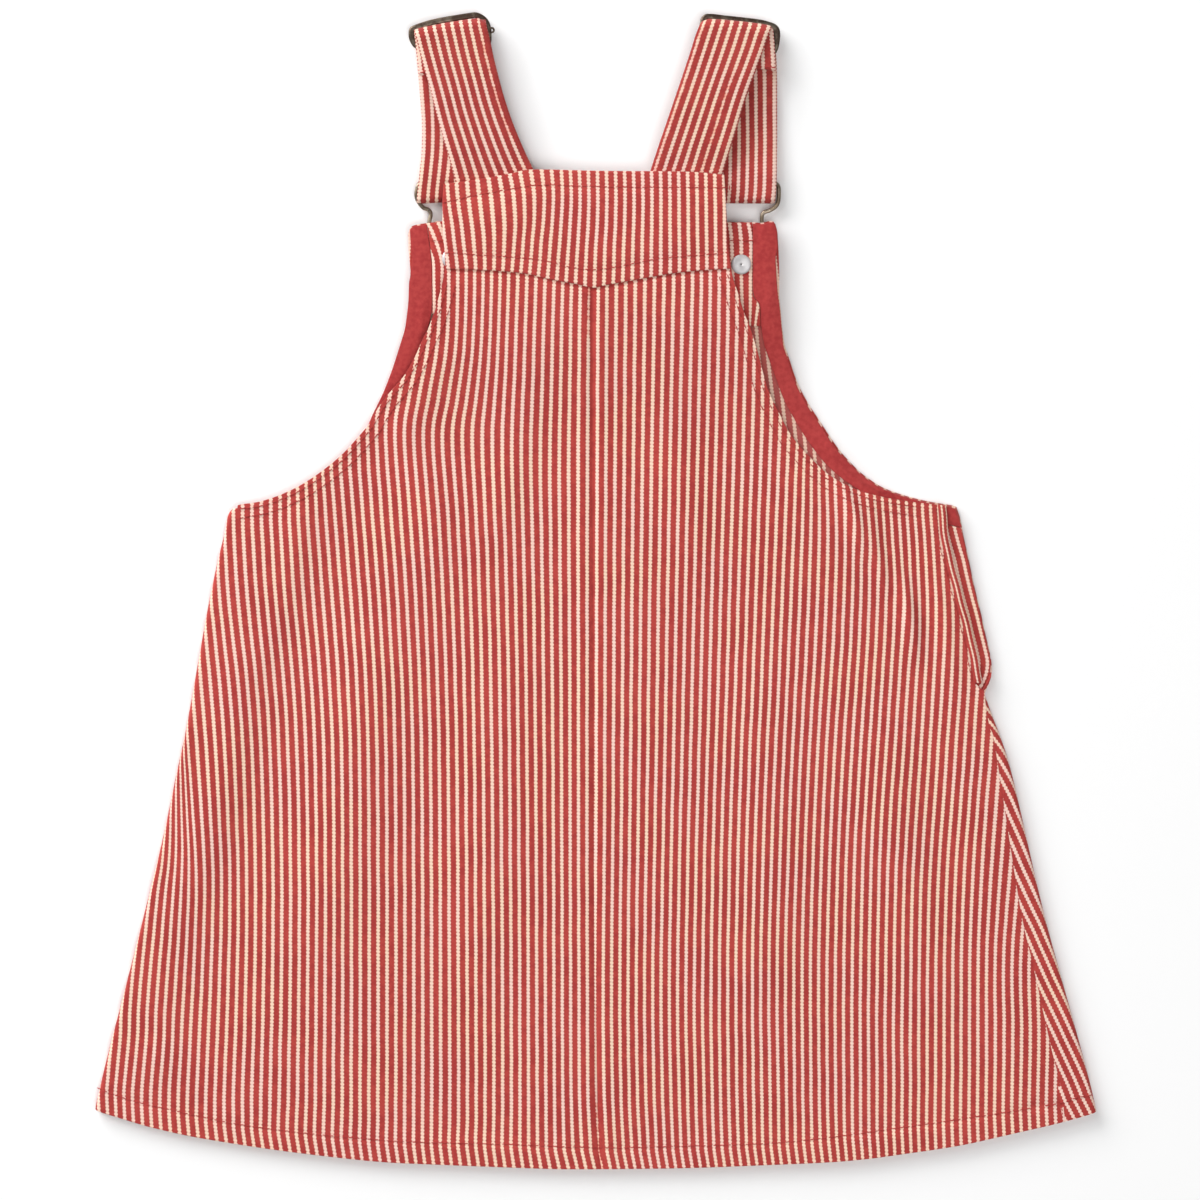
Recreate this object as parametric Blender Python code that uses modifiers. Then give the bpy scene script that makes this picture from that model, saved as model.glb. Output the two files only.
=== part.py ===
import math
from collections import namedtuple

import bmesh
import bpy
from mathutils import Vector

# A toddler's pinafore dress of hickory-striped twill, laid face down and flat. +Y runs from the
# hem to the strap tops, +Z is up from the surface that it lies on, and the back is uppermost.
# Tables and sizes are in millimetres, and MM turns them into metres as each mesh is made.
MM = 0.001

CLOTH = 1.0               # thickness of a single cloth wall
HEM_CLOTH = 1.5           # thickness of the turned and stitched hem
YOKE_CLOTH = 1.6          # the yoke is two layers
STRAP_CLOTH = 1.4         # a strap is a flat tube
BINDING_CLOTH = 1.3       # the folded binding of the side opening
GAP = 0.3                 # space between pieces that touch
HEM_DEPTH = 9.0
FOLD_RADIUS = 1.85        # outside of the round fold down each side
BIB_RISE = 3.9            # the bib lies this high, over its buttons and hooks
BIB_FLAT_BELOW = 75.0
BIB_RAISED_ABOVE = 143.0
BODY_GAP = 0.6            # air between front and back in the middle of the skirt
EDGE_GAP = 1.7            # and along the sides, where bands lie between them
YOKE_UNDERSIDE = 7.8
YOKE_RISE_FROM = 55.0
YOKE_RISE_TO = 133.0
BINDING_WIDTH = 3.5
FACING_WIDTH_TOP = 11.0
FACING_WIDTH_LOW = 9.2
FACING_STEPS = 22         # stretches along an armhole facing
BIB_FACING_STEPS = 6      # how many of them the bib facing runs beside
FACING_END_LEFT = (-158.4, 26.4)
FACING_END_RIGHT = (162.3, 27.4)
PLACKET_WIDTH = 14.0
PLACKET_TOP = 26.9
PLACKET_LOW = -44.2
LEFT_WRAP_TOP = 3.0       # cloth of the back that turns under the left side
LEFT_WRAP_HEM = 13.6

HOOK_WIRE = 0.9           # radius
HOOK_BAR_Y = 173.5
HOOK_Z = 2.6
STRAP_LOOP_RADIUS = 1.9   # middle of the cloth, round the hook's bar
SLIDER_Z = 4.25
SLIDER_TILT = 7.1         # degrees; the strap folds over it from its slant to upright
SLIDER_HALF_WIDTH = 18.0
SLIDER_BAR_SPACING = 6.3
SLIDER_BAR_HALF = 1.15
SLIDER_MIDDLE_HALF = 0.65
SLIDER_ARM = 1.9
SLIDER_THICKNESS = 1.6
STRAP_TURN_RADIUS = 3.55  # the strap's main turn through the slider
TAIL_TURN_RADIUS = 1.8    # the tail's turn round the slider's middle bar
STRAP_LOW_Z = 0.7
TAIL_Z = 2.45
BUTTON_RADIUS = 8.5
SHANK_RADIUS = 2.6
TACK_RADIUS = 3.85

COLLECTION = "pinafore_dress"

RED = (0.47, 0.055, 0.055)
STRIPED = (0.58, 0.22, 0.18)
BRASS = (0.115, 0.08, 0.055)
WIRE = (0.26, 0.2, 0.12)
STEEL = (0.68, 0.66, 0.66)


def table(columns, *rows):
    row = namedtuple("Row", columns)
    return [row(*values) for values in rows]


# The seam between the yoke and the back panels, a shallow V.
YOKE_SEAM = table(
    "x y",
    (-65.3, 141.2), (-42.0, 140.8), (-30.5, 139.4), (-16.5, 136.4), (-0.5, 133.3),
    (10.5, 136.0), (23.5, 138.2), (36.5, 140.6), (53.0, 141.6), (60.3, 142.0),
)
YOKE_TOP = table(
    "x y",
    (-66.2, 179.0), (-55.0, 180.4), (-37.5, 183.4), (-27.0, 185.3), (0.5, 184.7),
    (40.5, 184.3), (57.2, 183.0),
)
YOKE_LEFT = table("x y", (-66.2, 179.0), (-67.1, 170.5), (-66.3, 156.5), (-65.3, 141.2))
YOKE_RIGHT = table("x y", (57.2, 183.0), (58.1, 168.0), (59.0, 152.0), (60.3, 142.0))

# The back's armhole edges, from the yoke down to the underarm.
BACK_ARMHOLE_LEFT = table(
    "x y",
    (-65.3, 141.2), (-69.7, 125.0), (-74.0, 111.3), (-79.5, 102.0), (-86.0, 92.0),
    (-95.5, 81.5), (-101.0, 73.0), (-111.5, 61.0), (-122.0, 52.5), (-132.5, 45.5),
    (-145.5, 40.9), (-156.0, 38.6), (-159.8, 36.6),
)
BACK_ARMHOLE_RIGHT = table(
    "x y",
    (60.3, 142.0), (64.5, 128.0), (69.0, 114.0), (71.5, 103.0), (76.0, 87.0),
    (82.5, 75.0), (87.0, 67.5), (96.5, 57.0), (105.0, 49.5), (116.5, 44.0),
    (127.5, 41.0), (140.5, 38.9), (148.2, 38.1),
)
# The bib's own edges, from its top corner down to the underarm.
BIB_LEFT = table(
    "x y",
    (-81.8, 159.4), (-81.4, 150.0), (-80.9, 138.0), (-82.5, 123.0), (-84.5, 112.0),
    (-88.2, 99.5), (-91.7, 90.0), (-96.0, 80.5), (-108.5, 60.5), (-129.5, 42.5),
    (-146.0, 36.8), (-157.0, 34.6),
)
BIB_RIGHT = table(
    "x y",
    (79.9, 161.9), (81.0, 150.0), (81.0, 128.0), (82.7, 114.0), (84.8, 105.5),
    (88.8, 93.5), (94.6, 81.0), (101.7, 70.0), (110.8, 58.4), (119.8, 50.3),
    (128.9, 44.2), (140.5, 40.6), (150.0, 38.9), (158.0, 37.2), (161.2, 34.8),
)
BIB_TOP = table(
    "x y", (-81.8, 159.4), (-79.5, 161.2), (-75.0, 161.7), (0.0, 162.0), (79.9, 161.9)
)

# The side opening on the right: the back's bound edge, and the front's edge below it.
OPENING_BACK = table("x y", (152.0, 37.6), (159.5, 8.0), (167.2, -21.8), (170.9, -40.7))
OPENING_FRONT = table(
    "x y",
    (161.2, 34.8), (164.4, 14.5), (167.9, -4.2), (173.5, -24.0), (175.2, -32.0),
    (174.4, -39.8), (172.4, -44.7),
)
# Below the opening the front wraps round the right side as far as this seam.
RIGHT_SEAM = table(
    "x y",
    (171.4, -44.7), (171.7, -49.7), (173.6, -60.0), (176.0, -69.0), (186.8, -138.0),
    (193.2, -167.0), (200.2, -199.0), (204.5, -216.5), (206.8, -233.4),
)
RIGHT_SIDE = table(
    "x y",
    (172.2, -44.7), (175.6, -55.4), (178.9, -63.5), (181.5, -72.5), (196.3, -136.0),
    (206.5, -174.0), (216.7, -208.3), (220.2, -229.0),
)
LEFT_SIDE = table(
    "x y",
    (-159.8, 36.6), (-162.2, 30.5), (-164.3, 22.2), (-168.1, 8.0), (-171.7, -13.0),
    (-174.0, -30.5), (-177.5, -48.0), (-184.5, -83.5), (-196.9, -136.0),
    (-206.1, -171.5), (-214.9, -206.5), (-219.9, -227.7),
)
HEM = table(
    "x y",
    (-219.9, -227.7), (-216.5, -230.2), (-201.7, -235.0), (-180.5, -240.2),
    (-149.0, -245.6), (-109.3, -250.5), (-66.0, -253.2), (2.5, -254.6),
    (84.5, -252.3), (120.3, -249.7), (157.0, -244.4), (179.7, -239.1),
    (204.8, -233.9), (214.0, -231.3), (220.2, -229.0),
)
CENTRE_BACK = table(
    "x y", (-0.9, 133.3), (0.0, -136.0), (0.8, -195.0), (1.7, -241.3), (3.0, -254.5)
)

# Straps: each row is a section from the strap's outer edge to its inner edge, and height is
# where the outer edge lies. The first rows are tucked under the yoke.
UP_RUN_LEFT = table(
    "outer_x inner_x height lift",
    (-59.4, -24.4, 173.5, 6.8), (-61.2, -26.8, 180.6, 6.8), (-63.3, -29.8, 187.0, 7.4),
    (-65.4, -32.7, 193.5, 7.8), (-68.9, -37.2, 206.0, 7.8), (-73.5, -41.7, 222.0, 7.8),
    (-76.9, -45.6, 235.6, 7.8),
)
UP_RUN_RIGHT = table(
    "outer_x inner_x height lift",
    (52.4, 21.9, 175.5, 6.8), (54.6, 24.2, 182.0, 6.8), (57.0, 26.6, 188.0, 7.4),
    (59.6, 28.5, 194.0, 7.8), (64.4, 33.2, 207.0, 7.8), (69.6, 38.7, 222.0, 7.8),
    (74.0, 43.0, 236.0, 7.8),
)
DOWN_RUN_LEFT = table(
    "outer_x inner_x height",
    (-78.3, -48.0, 236.0), (-77.4, -47.4, 226.0), (-76.0, -46.0, 213.0),
    (-75.3, -45.4, 202.0), (-75.8, -46.0, 190.0), (-78.2, -48.3, 178.0),
)
DOWN_RUN_RIGHT = table(
    "outer_x inner_x height",
    (79.6, 49.4, 236.0), (80.2, 50.0, 226.0), (80.2, 50.0, 213.0),
    (80.0, 50.0, 200.0), (79.6, 49.6, 187.0), (79.2, 49.2, 178.0),
)
TAIL_RISE = table("past_bar lift", (5.0, 4.0), (9.0, 3.1), (14.0, 2.45))
# The strap's section at the slider's middle bar, and where the sewn tail ends.
Turn = namedtuple("Turn", "outer_x outer_y inner_x inner_y tail_outer_x tail_end_y")
TURN_LEFT = Turn(-78.7, 242.9, -47.5, 246.8, -79.3, 227.8)
TURN_RIGHT = Turn(78.2, 243.2, 46.8, 247.1, 80.0, 228.6)

# Half of the hook's wire, from the middle of its bar to the end of its keyhole.
HOOK_HALF = table(
    "x y",
    (0.0, 173.5), (8.0, 173.5), (15.2, 173.5), (16.1, 172.9), (16.2, 171.5),
    (15.3, 169.8), (13.1, 168.4), (11.0, 167.4), (9.6, 165.8), (9.5, 162.4),
    (9.8, 158.0), (8.6, 152.6), (5.8, 148.8), (4.3, 146.2), (4.1, 143.4),
    (3.1, 140.8), (0.0, 139.6),
)
BUTTON_LEFT = (-63.4, 144.2)
BUTTON_RIGHT = (64.3, 144.2)


def smoothstep(low, high, value):
    share = min(max((value - low) / (high - low), 0.0), 1.0)
    return share * share * (3.0 - 2.0 * share)


def mix(first, second, share):
    return first + (second - first) * share


def smooth_line(points, steps=8):
    # A Catmull-Rom line through the points.
    points = [Vector((point[0], point[1])) for point in points]
    ends = [2 * points[0] - points[1], *points, 2 * points[-1] - points[-2]]
    line = []
    for before, start, end, after in zip(ends, ends[1:], ends[2:], ends[3:]):
        for step in range(steps):
            t = step / steps
            bend = (2 * before - 5 * start + 4 * end - after) * t * t
            twist = (3 * start - before - 3 * end + after) * t ** 3
            line.append((2 * start + (end - before) * t + bend + twist) / 2)
    return [*line, points[-1]]


def spread(points, count):
    # The smooth line through the points, as count equal stretches.
    line = smooth_line(points)
    lengths = [0.0]
    for start, end in zip(line, line[1:]):
        lengths.append(lengths[-1] + (end - start).length)
    spaced = []
    index = 0
    for number in range(count + 1):
        target = lengths[-1] * number / count
        while index < len(line) - 2 and lengths[index + 1] < target:
            index += 1
        share = (target - lengths[index]) / (lengths[index + 1] - lengths[index])
        spaced.append(line[index].lerp(line[index + 1], min(max(share, 0.0), 1.0)))
    return spaced


def height_on(points, x):
    # y at x, on a smooth line whose points run to the right.
    line = smooth_line(points)
    for start, end in zip(line, line[1:]):
        if x <= end.x:
            return mix(start.y, end.y, (x - start.x) / (end.x - start.x))
    return line[-1].y


def x_on(points, y):
    # x at y, on a smooth line whose points run down.
    line = smooth_line(points)
    for start, end in zip(line, line[1:]):
        if y >= end.y:
            return mix(start.x, end.x, (start.y - y) / max(start.y - end.y, 1e-6))
    return line[-1].x


def moved(points, dx, dy=0.0):
    return [Vector((point[0] + dx, point[1] + dy)) for point in points]


def fill(left, right, top, bottom, columns):
    # Rows of points between two side lines. The rows take the top's and the bottom's own
    # shape near them.
    top_line = [top(mix(left[0].x, right[0].x, n / columns)) for n in range(columns + 1)]
    low_line = [
        bottom(mix(left[-1].x, right[-1].x, n / columns)) for n in range(columns + 1)
    ]
    rows = []
    for start, end in zip(left, right):
        progress = (right[0].y - end.y) / (right[0].y - right[-1].y)
        row = []
        for n in range(columns + 1):
            share = n / columns
            point = start.lerp(end, share)
            bow_top = top_line[n] - mix(top_line[0], top_line[-1], share)
            bow_low = low_line[n] - mix(low_line[0], low_line[-1], share)
            point.y += mix(bow_top, bow_low, progress)
            row.append(point)
        rows.append(row)
    return rows


def bib_lift(y):
    return BIB_RISE * smoothstep(BIB_FLAT_BELOW, BIB_RAISED_ABOVE, y)


def bib_underside(x, y):
    return bib_lift(y)


def hem_share(x, y):
    # 1 on the turned hem, 0 above it.
    above = y - height_on(HEM, x)
    return 1.0 - smoothstep(HEM_DEPTH - 1.0, HEM_DEPTH + 6.0, above)


def soft_waves(x, y):
    # Broad shallow waves of the skirt, which fan out from the yoke and fade at its seams.
    spread_out = x / (240.0 - y)
    waves = math.sin(spread_out * 17.0 + 0.7) + 0.6 * math.sin(spread_out * 29.0 + y / 55.0)
    fade = smoothstep(100.0, 10.0, y) * smoothstep(0.0, 26.0, side_distance(x, y))
    return fade * (0.45 + 0.28 * waves)


def side_distance(x, y):
    # Distance in from the dress's side, below the underarm.
    if x < 0.0:
        return x - x_on(LEFT_SIDE, y) - FOLD_RADIUS
    edge = x_on(RIGHT_SEAM if y < RIGHT_SEAM[0].y else OPENING_BACK, y)
    return edge - x


def back_top(x, y):
    near_side = 1.0 - smoothstep(8.0, 34.0, side_distance(x, y))
    raised = max(near_side, smoothstep(-20.0, YOKE_RISE_FROM, y))
    gap = mix(BODY_GAP, EDGE_GAP, raised)
    yoke_step = YOKE_UNDERSIDE - CLOTH - EDGE_GAP
    underside = CLOTH + gap + yoke_step * smoothstep(YOKE_RISE_FROM, YOKE_RISE_TO, y)
    hem = hem_share(x, y)
    underside += (HEM_CLOTH - CLOTH) * hem * (1.0 - near_side)
    thickness = mix(CLOTH, HEM_CLOTH, hem * (1.0 - near_side))
    return underside + thickness + soft_waves(x, y) * (1.0 - hem)


def new_material(name, color, roughness, metallic):
    material = bpy.data.materials.new(name)
    material.use_nodes = True
    shader = material.node_tree.nodes["Principled BSDF"]
    shader.inputs["Base Color"].default_value = (*color, 1.0)
    shader.inputs["Roughness"].default_value = roughness
    shader.inputs["Metallic"].default_value = metallic
    return material


def add_object(name, data, material):
    data.materials.append(material)
    piece = bpy.data.objects.new(name, data)
    bpy.data.collections[COLLECTION].objects.link(piece)
    return piece


def add_sheet(name, rows, material, thickness, flip=False, hem=False):
    # One cloth wall. Its points are the outer face, and the wall grows inwards from them.
    mesh = bmesh.new()
    grid = [[mesh.verts.new(Vector(point) * MM) for point in row] for row in rows]
    for upper, lower in zip(grid, grid[1:]):
        for n in range(min(len(upper), len(lower)) - 1):
            corners = [upper[n], lower[n], lower[n + 1], upper[n + 1]]
            mesh.faces.new(corners[::-1] if flip else corners)
    data = bpy.data.meshes.new(name)
    mesh.to_mesh(data)
    mesh.free()
    piece = add_object(name, data, material)
    wall = piece.modifiers.new("wall", "SOLIDIFY")
    wall.offset = -1.0
    wall.use_even_offset = True
    wall.thickness = thickness * MM
    if hem:
        group = piece.vertex_groups.new(name="thickness")
        for vertex in data.vertices:
            x, y, _ = vertex.co / MM
            near_fold = smoothstep(34.0, 8.0, side_distance(x, y))
            share = hem_share(x, y) * (1.0 - near_fold)
            group.add([vertex.index], mix(CLOTH, HEM_CLOTH, share) / HEM_CLOTH, "REPLACE")
        wall.thickness = HEM_CLOTH * MM
        wall.vertex_group = group.name
    data.shade_smooth()
    return piece


def lifted(rows, height):
    return [[(point.x, point.y, height(point.x, point.y)) for point in row] for row in rows]


def side_turn(edge, inward, turn, flat, steps, start_low):
    # Points round a side fold and along the cloth beyond it. edge is where the fold begins,
    # inward is +1 or -1 in x, turn is in degrees, flat is the run past the fold.
    points = []
    for step in range(1, steps + 1):
        angle = math.radians(turn * step / steps)
        out = FOLD_RADIUS * math.sin(angle)
        rise = FOLD_RADIUS * (1.0 - math.cos(angle))
        height = rise if start_low else 2 * FOLD_RADIUS - rise
        points.append((edge.x - inward * out, edge.y, height))
    for share in (0.5, 1.0):
        if flat > 0.0:
            height = 2 * FOLD_RADIUS if start_low else 0.0
            points.append((edge.x + inward * flat * share, edge.y, height))
    return points


def left_wrap(y):
    # Width of the back that shows under the left side.
    share = (LEFT_SIDE[0].y - y) / (LEFT_SIDE[0].y - LEFT_SIDE[-1].y)
    return mix(LEFT_WRAP_TOP, LEFT_WRAP_HEM, share)


def follow_centre(side, top_y, low_y):
    # Points on the centre back that go with a side line's points.
    top, low = side[0].y, side[-1].y
    points = []
    for point in side:
        progress = (top - point.y) / (top - low)
        y = mix(top_y, low_y, progress)
        points.append(Vector((x_on(CENTRE_BACK, y), y)))
    return points


def yoke_seam(x):
    return height_on(YOKE_SEAM, x)


def hem_line(x):
    return height_on(HEM, x)


def build_back_right(material):
    inset = -BINDING_WIDTH - GAP
    opening = spread(moved(OPENING_BACK, inset), 6)
    seam = spread(moved(RIGHT_SEAM, -GAP / 2), 14)
    side = spread(BACK_ARMHOLE_RIGHT, 14)[:-1] + opening + seam
    middle = follow_centre(side, 133.3, hem_line(3.0))
    rows = fill(moved(middle, GAP / 2), side, yoke_seam, hem_line, 14)
    add_sheet("back_right", lifted(rows, back_top), material, CLOTH, hem=True)


def build_back_left(material):
    armhole = spread(BACK_ARMHOLE_LEFT, 14)[:-1]
    side = armhole + spread(moved(LEFT_SIDE, FOLD_RADIUS), 20)
    middle = follow_centre(side, 133.3, hem_line(3.0))
    rows = fill(moved(middle, -GAP / 2), side, yoke_seam, hem_line, 14)
    walls = []
    for row in lifted(rows, back_top)[14:]:
        edge = Vector(row[-1])
        flat = left_wrap(edge.y) - FOLD_RADIUS
        walls.append(row[:-1] + [(edge.x, edge.y, 2 * FOLD_RADIUS)]
                     + side_turn(edge, 1.0, 180.0, flat, 6, False))
    rows = lifted(rows, back_top)[:14] + walls
    add_sheet("back_left", rows, material, CLOTH, flip=True, hem=True)


def build_front(material):
    low_left = []
    for point in spread(LEFT_SIDE, 20):
        low_left.append(Vector((point.x + left_wrap(point.y) + GAP, point.y)))
    left = spread(BIB_LEFT, 16)[:-1] + low_left
    fold = spread(moved(RIGHT_SIDE, -FOLD_RADIUS), 14)
    right = spread(BIB_RIGHT, 16) + spread(OPENING_FRONT, 6)[1:-1] + fold
    rows = fill(left, right, lambda x: height_on(BIB_TOP, x), hem_line, 22)
    walls = []
    for number, row in enumerate(lifted(rows, bib_underside)):
        past = number - 22
        if past >= 0:
            edge = Vector(row[-1])
            seam = x_on(RIGHT_SEAM, edge.y) + GAP / 2
            flat = max(edge.x - seam, 0.0)
            turn = (95.0, 180.0)[min(past, 1)]
            row = row + side_turn(edge, -1.0, turn, flat if past else 0.0, 6, True)
        walls.append(row)
    add_sheet("front_panel", walls, material, CLOTH, flip=True, hem=True)


def build_yoke(material):
    left = spread(YOKE_LEFT, 4)
    right = spread(YOKE_RIGHT, 4)
    rows = fill(
        left, right, lambda x: height_on(YOKE_TOP, x), lambda x: yoke_seam(x) + GAP, 14
    )
    for point in rows[-1]:
        point.y = yoke_seam(point.x) + GAP
    top = YOKE_UNDERSIDE + YOKE_CLOTH
    add_sheet("back_yoke", lifted(rows, lambda x, y: top), material, YOKE_CLOTH)


def facing_edge(points, inward, end, count):
    # The bib's edge and the facing's inner edge beside it, which finishes at end.
    outer = spread(points, count)
    inner = []
    for number, point in enumerate(outer):
        before = outer[max(number - 1, 0)]
        after = outer[min(number + 1, count)]
        along = (after - before).normalized()
        width = mix(FACING_WIDTH_TOP, FACING_WIDTH_LOW, min(number / count * 2.0, 1.0))
        inner.append(point + Vector((along.y, -along.x)) * width * inward)
    inner[0] = Vector((inner[0].x, outer[0].y))
    inner[-1] = Vector(end)
    return outer, inner


def facing_top(x, y):
    return bib_lift(y) + CLOTH + GAP + CLOTH


def build_armhole_facing(name, points, inward, end, material):
    outer, inner = facing_edge(points, inward, end, FACING_STEPS)
    rows = [[a.lerp(b, n / 2) for n in range(3)] for a, b in zip(outer, inner)]
    add_sheet(name, lifted(rows, facing_top), material, CLOTH, flip=inward > 0)


def build_bib_facing(material):
    # It lies between the two armhole facings, and its rows end beside their points.
    sides = []
    for points, inward, end in (
        (BIB_LEFT, -1.0, FACING_END_LEFT), (BIB_RIGHT, 1.0, FACING_END_RIGHT)
    ):
        inner = facing_edge(points, inward, end, FACING_STEPS)[1]
        sides.append(moved(inner[: BIB_FACING_STEPS + 1], GAP * -inward))
    rows = []
    for left, right in zip(*sides):
        rows.append([left.lerp(right, n / 8) for n in range(9)])
    add_sheet("bib_facing", lifted(rows, facing_top), material, CLOTH)


def build_placket(striped):
    outer = spread(OPENING_BACK, 6)
    inner = moved(outer, -BINDING_WIDTH)
    top = CLOTH + EDGE_GAP + BINDING_CLOTH
    rows = [list(pair) for pair in zip(inner, outer)]
    add_sheet("placket_back", lifted(rows, lambda x, y: top), striped, BINDING_CLOTH)
    rows = []
    for number in range(13):
        y = mix(PLACKET_TOP, PLACKET_LOW, number / 12)
        x = x_on(OPENING_FRONT, y)
        rows.append([Vector((x - PLACKET_WIDTH, y)), Vector((x, y))])
    add_sheet("placket_front", lifted(rows, facing_top), striped, CLOTH)


def turn_section(outer, inner, axis_z, radius, start, end, steps):
    # Sections of a strap as it goes round a bar that lies along outer to inner.
    across = (inner - outer).normalized()
    out = Vector((-across.y, across.x))
    if out.y < 0.0:
        out = -out
    sections = []
    for step in range(steps + 1):
        angle = math.radians(mix(start, end, step / steps))
        push = out * radius * math.sin(angle)
        z = axis_z + radius * math.cos(angle)
        sections.append((outer + push, inner + push, z))
    return sections


def strap_sections(up_run, down_run, turn):
    outer_end = Vector((turn.outer_x, turn.outer_y))
    inner_end = Vector((turn.inner_x, turn.inner_y))
    slope = inner_end.y - outer_end.y
    sections = []
    for row in up_run:
        outer = Vector((row.outer_x, row.height))
        sections.append((outer, Vector((row.inner_x, row.height + slope)), row.lift))
    sections += turn_section(outer_end, inner_end, SLIDER_Z, STRAP_TURN_RADIUS, 0, 180, 10)
    below = []
    for number, row in enumerate(down_run):
        tilt = slope * (1.0 - number / (len(down_run) - 1)) * 0.8
        below.append((Vector((row.outer_x, row.height)),
                      Vector((row.inner_x, row.height + tilt))))
    sections += [(outer, inner, STRAP_LOW_Z) for outer, inner in below]
    last = down_run[-1]
    bar_outer = Vector((last.outer_x, HOOK_BAR_Y))
    bar_inner = Vector((last.inner_x, HOOK_BAR_Y))
    sections += turn_section(bar_outer, bar_inner, HOOK_Z, STRAP_LOOP_RADIUS, 180, 360, 6)
    for row in TAIL_RISE:
        rise = Vector((0.0, row.past_bar))
        sections.append((bar_outer + rise, bar_inner + rise, row.lift))
    sections += [(outer, inner, TAIL_Z) for outer, inner in below[-3::-1]]
    sections += turn_section(
        outer_end, inner_end, SLIDER_Z, TAIL_TURN_RADIUS, 180, 0, 8
    )
    tail_outer = Vector((turn.tail_outer_x, turn.tail_end_y))
    width = inner_end.x - outer_end.x
    tail_inner = tail_outer + Vector((width, slope * 0.6))
    tail_z = SLIDER_Z + TAIL_TURN_RADIUS
    middle = (outer_end.lerp(tail_outer, 0.5), inner_end.lerp(tail_inner, 0.5), tail_z)
    return [*sections, middle, (tail_outer, tail_inner, tail_z)]


def build_strap(name, up_run, down_run, turn, flip, material):
    rows = []
    for outer, inner, z in strap_sections(up_run, down_run, turn):
        middle = outer.lerp(inner, 0.5)
        rows.append([(point.x, point.y, z) for point in (outer, middle, inner)])
    strap = add_sheet(name, rows, material, STRAP_CLOTH, flip)
    strap.modifiers["wall"].offset = 0.0


def add_outline(curve, points):
    spline = curve.splines.new("POLY")
    spline.points.add(len(points) - 1)
    for target, point in zip(spline.points, points):
        target.co = (point[0] * MM, point[1] * MM, 0.0, 1.0)
    spline.use_cyclic_u = True


def rounded_box(half_width, low, high, radius, steps=4):
    # The outline of a rectangle with round corners.
    corners = (
        (half_width - radius, low + radius, -90.0),
        (half_width - radius, high - radius, 0.0),
        (radius - half_width, high - radius, 90.0),
        (radius - half_width, low + radius, 180.0),
    )
    points = []
    for x, y, start in corners:
        for step in range(steps + 1):
            angle = math.radians(start + 90.0 * step / steps)
            points.append((x + radius * math.cos(angle), y + radius * math.sin(angle)))
    return points


def build_slider(name, turn, tilt, material):
    # A flat frame with two slots, one each side of its middle bar.
    edge = 0.3
    curve = bpy.data.curves.new(name, "CURVE")
    curve.dimensions = "2D"
    curve.fill_mode = "BOTH"
    curve.extrude = (SLIDER_THICKNESS / 2 - edge) * MM
    curve.bevel_depth = edge * MM
    curve.bevel_resolution = 1
    reach = SLIDER_BAR_SPACING + SLIDER_BAR_HALF - edge
    add_outline(curve, rounded_box(SLIDER_HALF_WIDTH - edge, -reach, reach, 2.6))
    slot_half = SLIDER_HALF_WIDTH - SLIDER_ARM + edge
    slot_low = SLIDER_MIDDLE_HALF - edge
    slot_high = SLIDER_BAR_SPACING - SLIDER_BAR_HALF + edge
    add_outline(curve, rounded_box(slot_half, slot_low, slot_high, 1.2)[::-1])
    add_outline(curve, rounded_box(slot_half, -slot_high, -slot_low, 1.2)[::-1])
    slider = add_object(name, curve, material)
    middle_x = (turn.outer_x + turn.inner_x) / 2
    middle_y = (turn.outer_y + turn.inner_y) / 2
    slider.location = Vector((middle_x, middle_y, SLIDER_Z)) * MM
    slider.rotation_euler.z = math.radians(tilt)


def build_hook(name, centre_x, material):
    half = spread(HOOK_HALF, 24)
    route = half + [Vector((-point.x, point.y)) for point in half[-2:0:-1]]
    curve = bpy.data.curves.new(name, "CURVE")
    curve.dimensions = "3D"
    curve.bevel_depth = HOOK_WIRE * MM
    curve.bevel_resolution = 2
    add_outline(curve, route)
    hook = add_object(name, curve, material)
    hook.location = Vector((centre_x, 0.0, HOOK_Z)) * MM


def build_turned(name, profile, place, material):
    # A profile of radius and height, turned about Z. It runs down its outer side.
    mesh = bmesh.new()
    points = [mesh.verts.new((x * MM, 0.0, z * MM)) for x, z in profile]
    for start, end in zip(points, points[1:]):
        mesh.edges.new((start, end))
    data = bpy.data.meshes.new(name)
    mesh.to_mesh(data)
    mesh.free()
    piece = add_object(name, data, material)
    turn = piece.modifiers.new("turn", "SCREW")
    turn.steps = 20
    turn.render_steps = 20
    turn.use_merge_vertices = True
    turn.merge_threshold = 0.00001
    turn.use_smooth_shade = True
    piece.location = Vector((place[0], place[1], 0.0)) * MM


def build_button(side, place, brass, steel):
    # The cap lies face down under the bib, and the tack closes it from above.
    cap = [
        (0.0, 3.5), (SHANK_RADIUS, 3.5), (SHANK_RADIUS, 1.4), (BUTTON_RADIUS - 0.3, 1.4),
        (BUTTON_RADIUS, 1.1), (BUTTON_RADIUS, 0.5), (BUTTON_RADIUS - 0.5, 0.0), (0.0, 0.0),
    ]
    build_turned(f"button_cap_{side}", cap, place, brass)
    rest = BIB_RISE + 2 * CLOTH + 2 * GAP
    tack = [
        (0.0, rest + 0.55), (1.0, rest + 0.6), (1.8, rest + 0.95), (2.8, rest + 0.95),
        (TACK_RADIUS - 0.3, rest + 0.55), (TACK_RADIUS, rest + 0.25), (TACK_RADIUS, rest),
        (0.0, rest),
    ]
    build_turned(f"button_tack_{side}", tack, place, steel)


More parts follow.
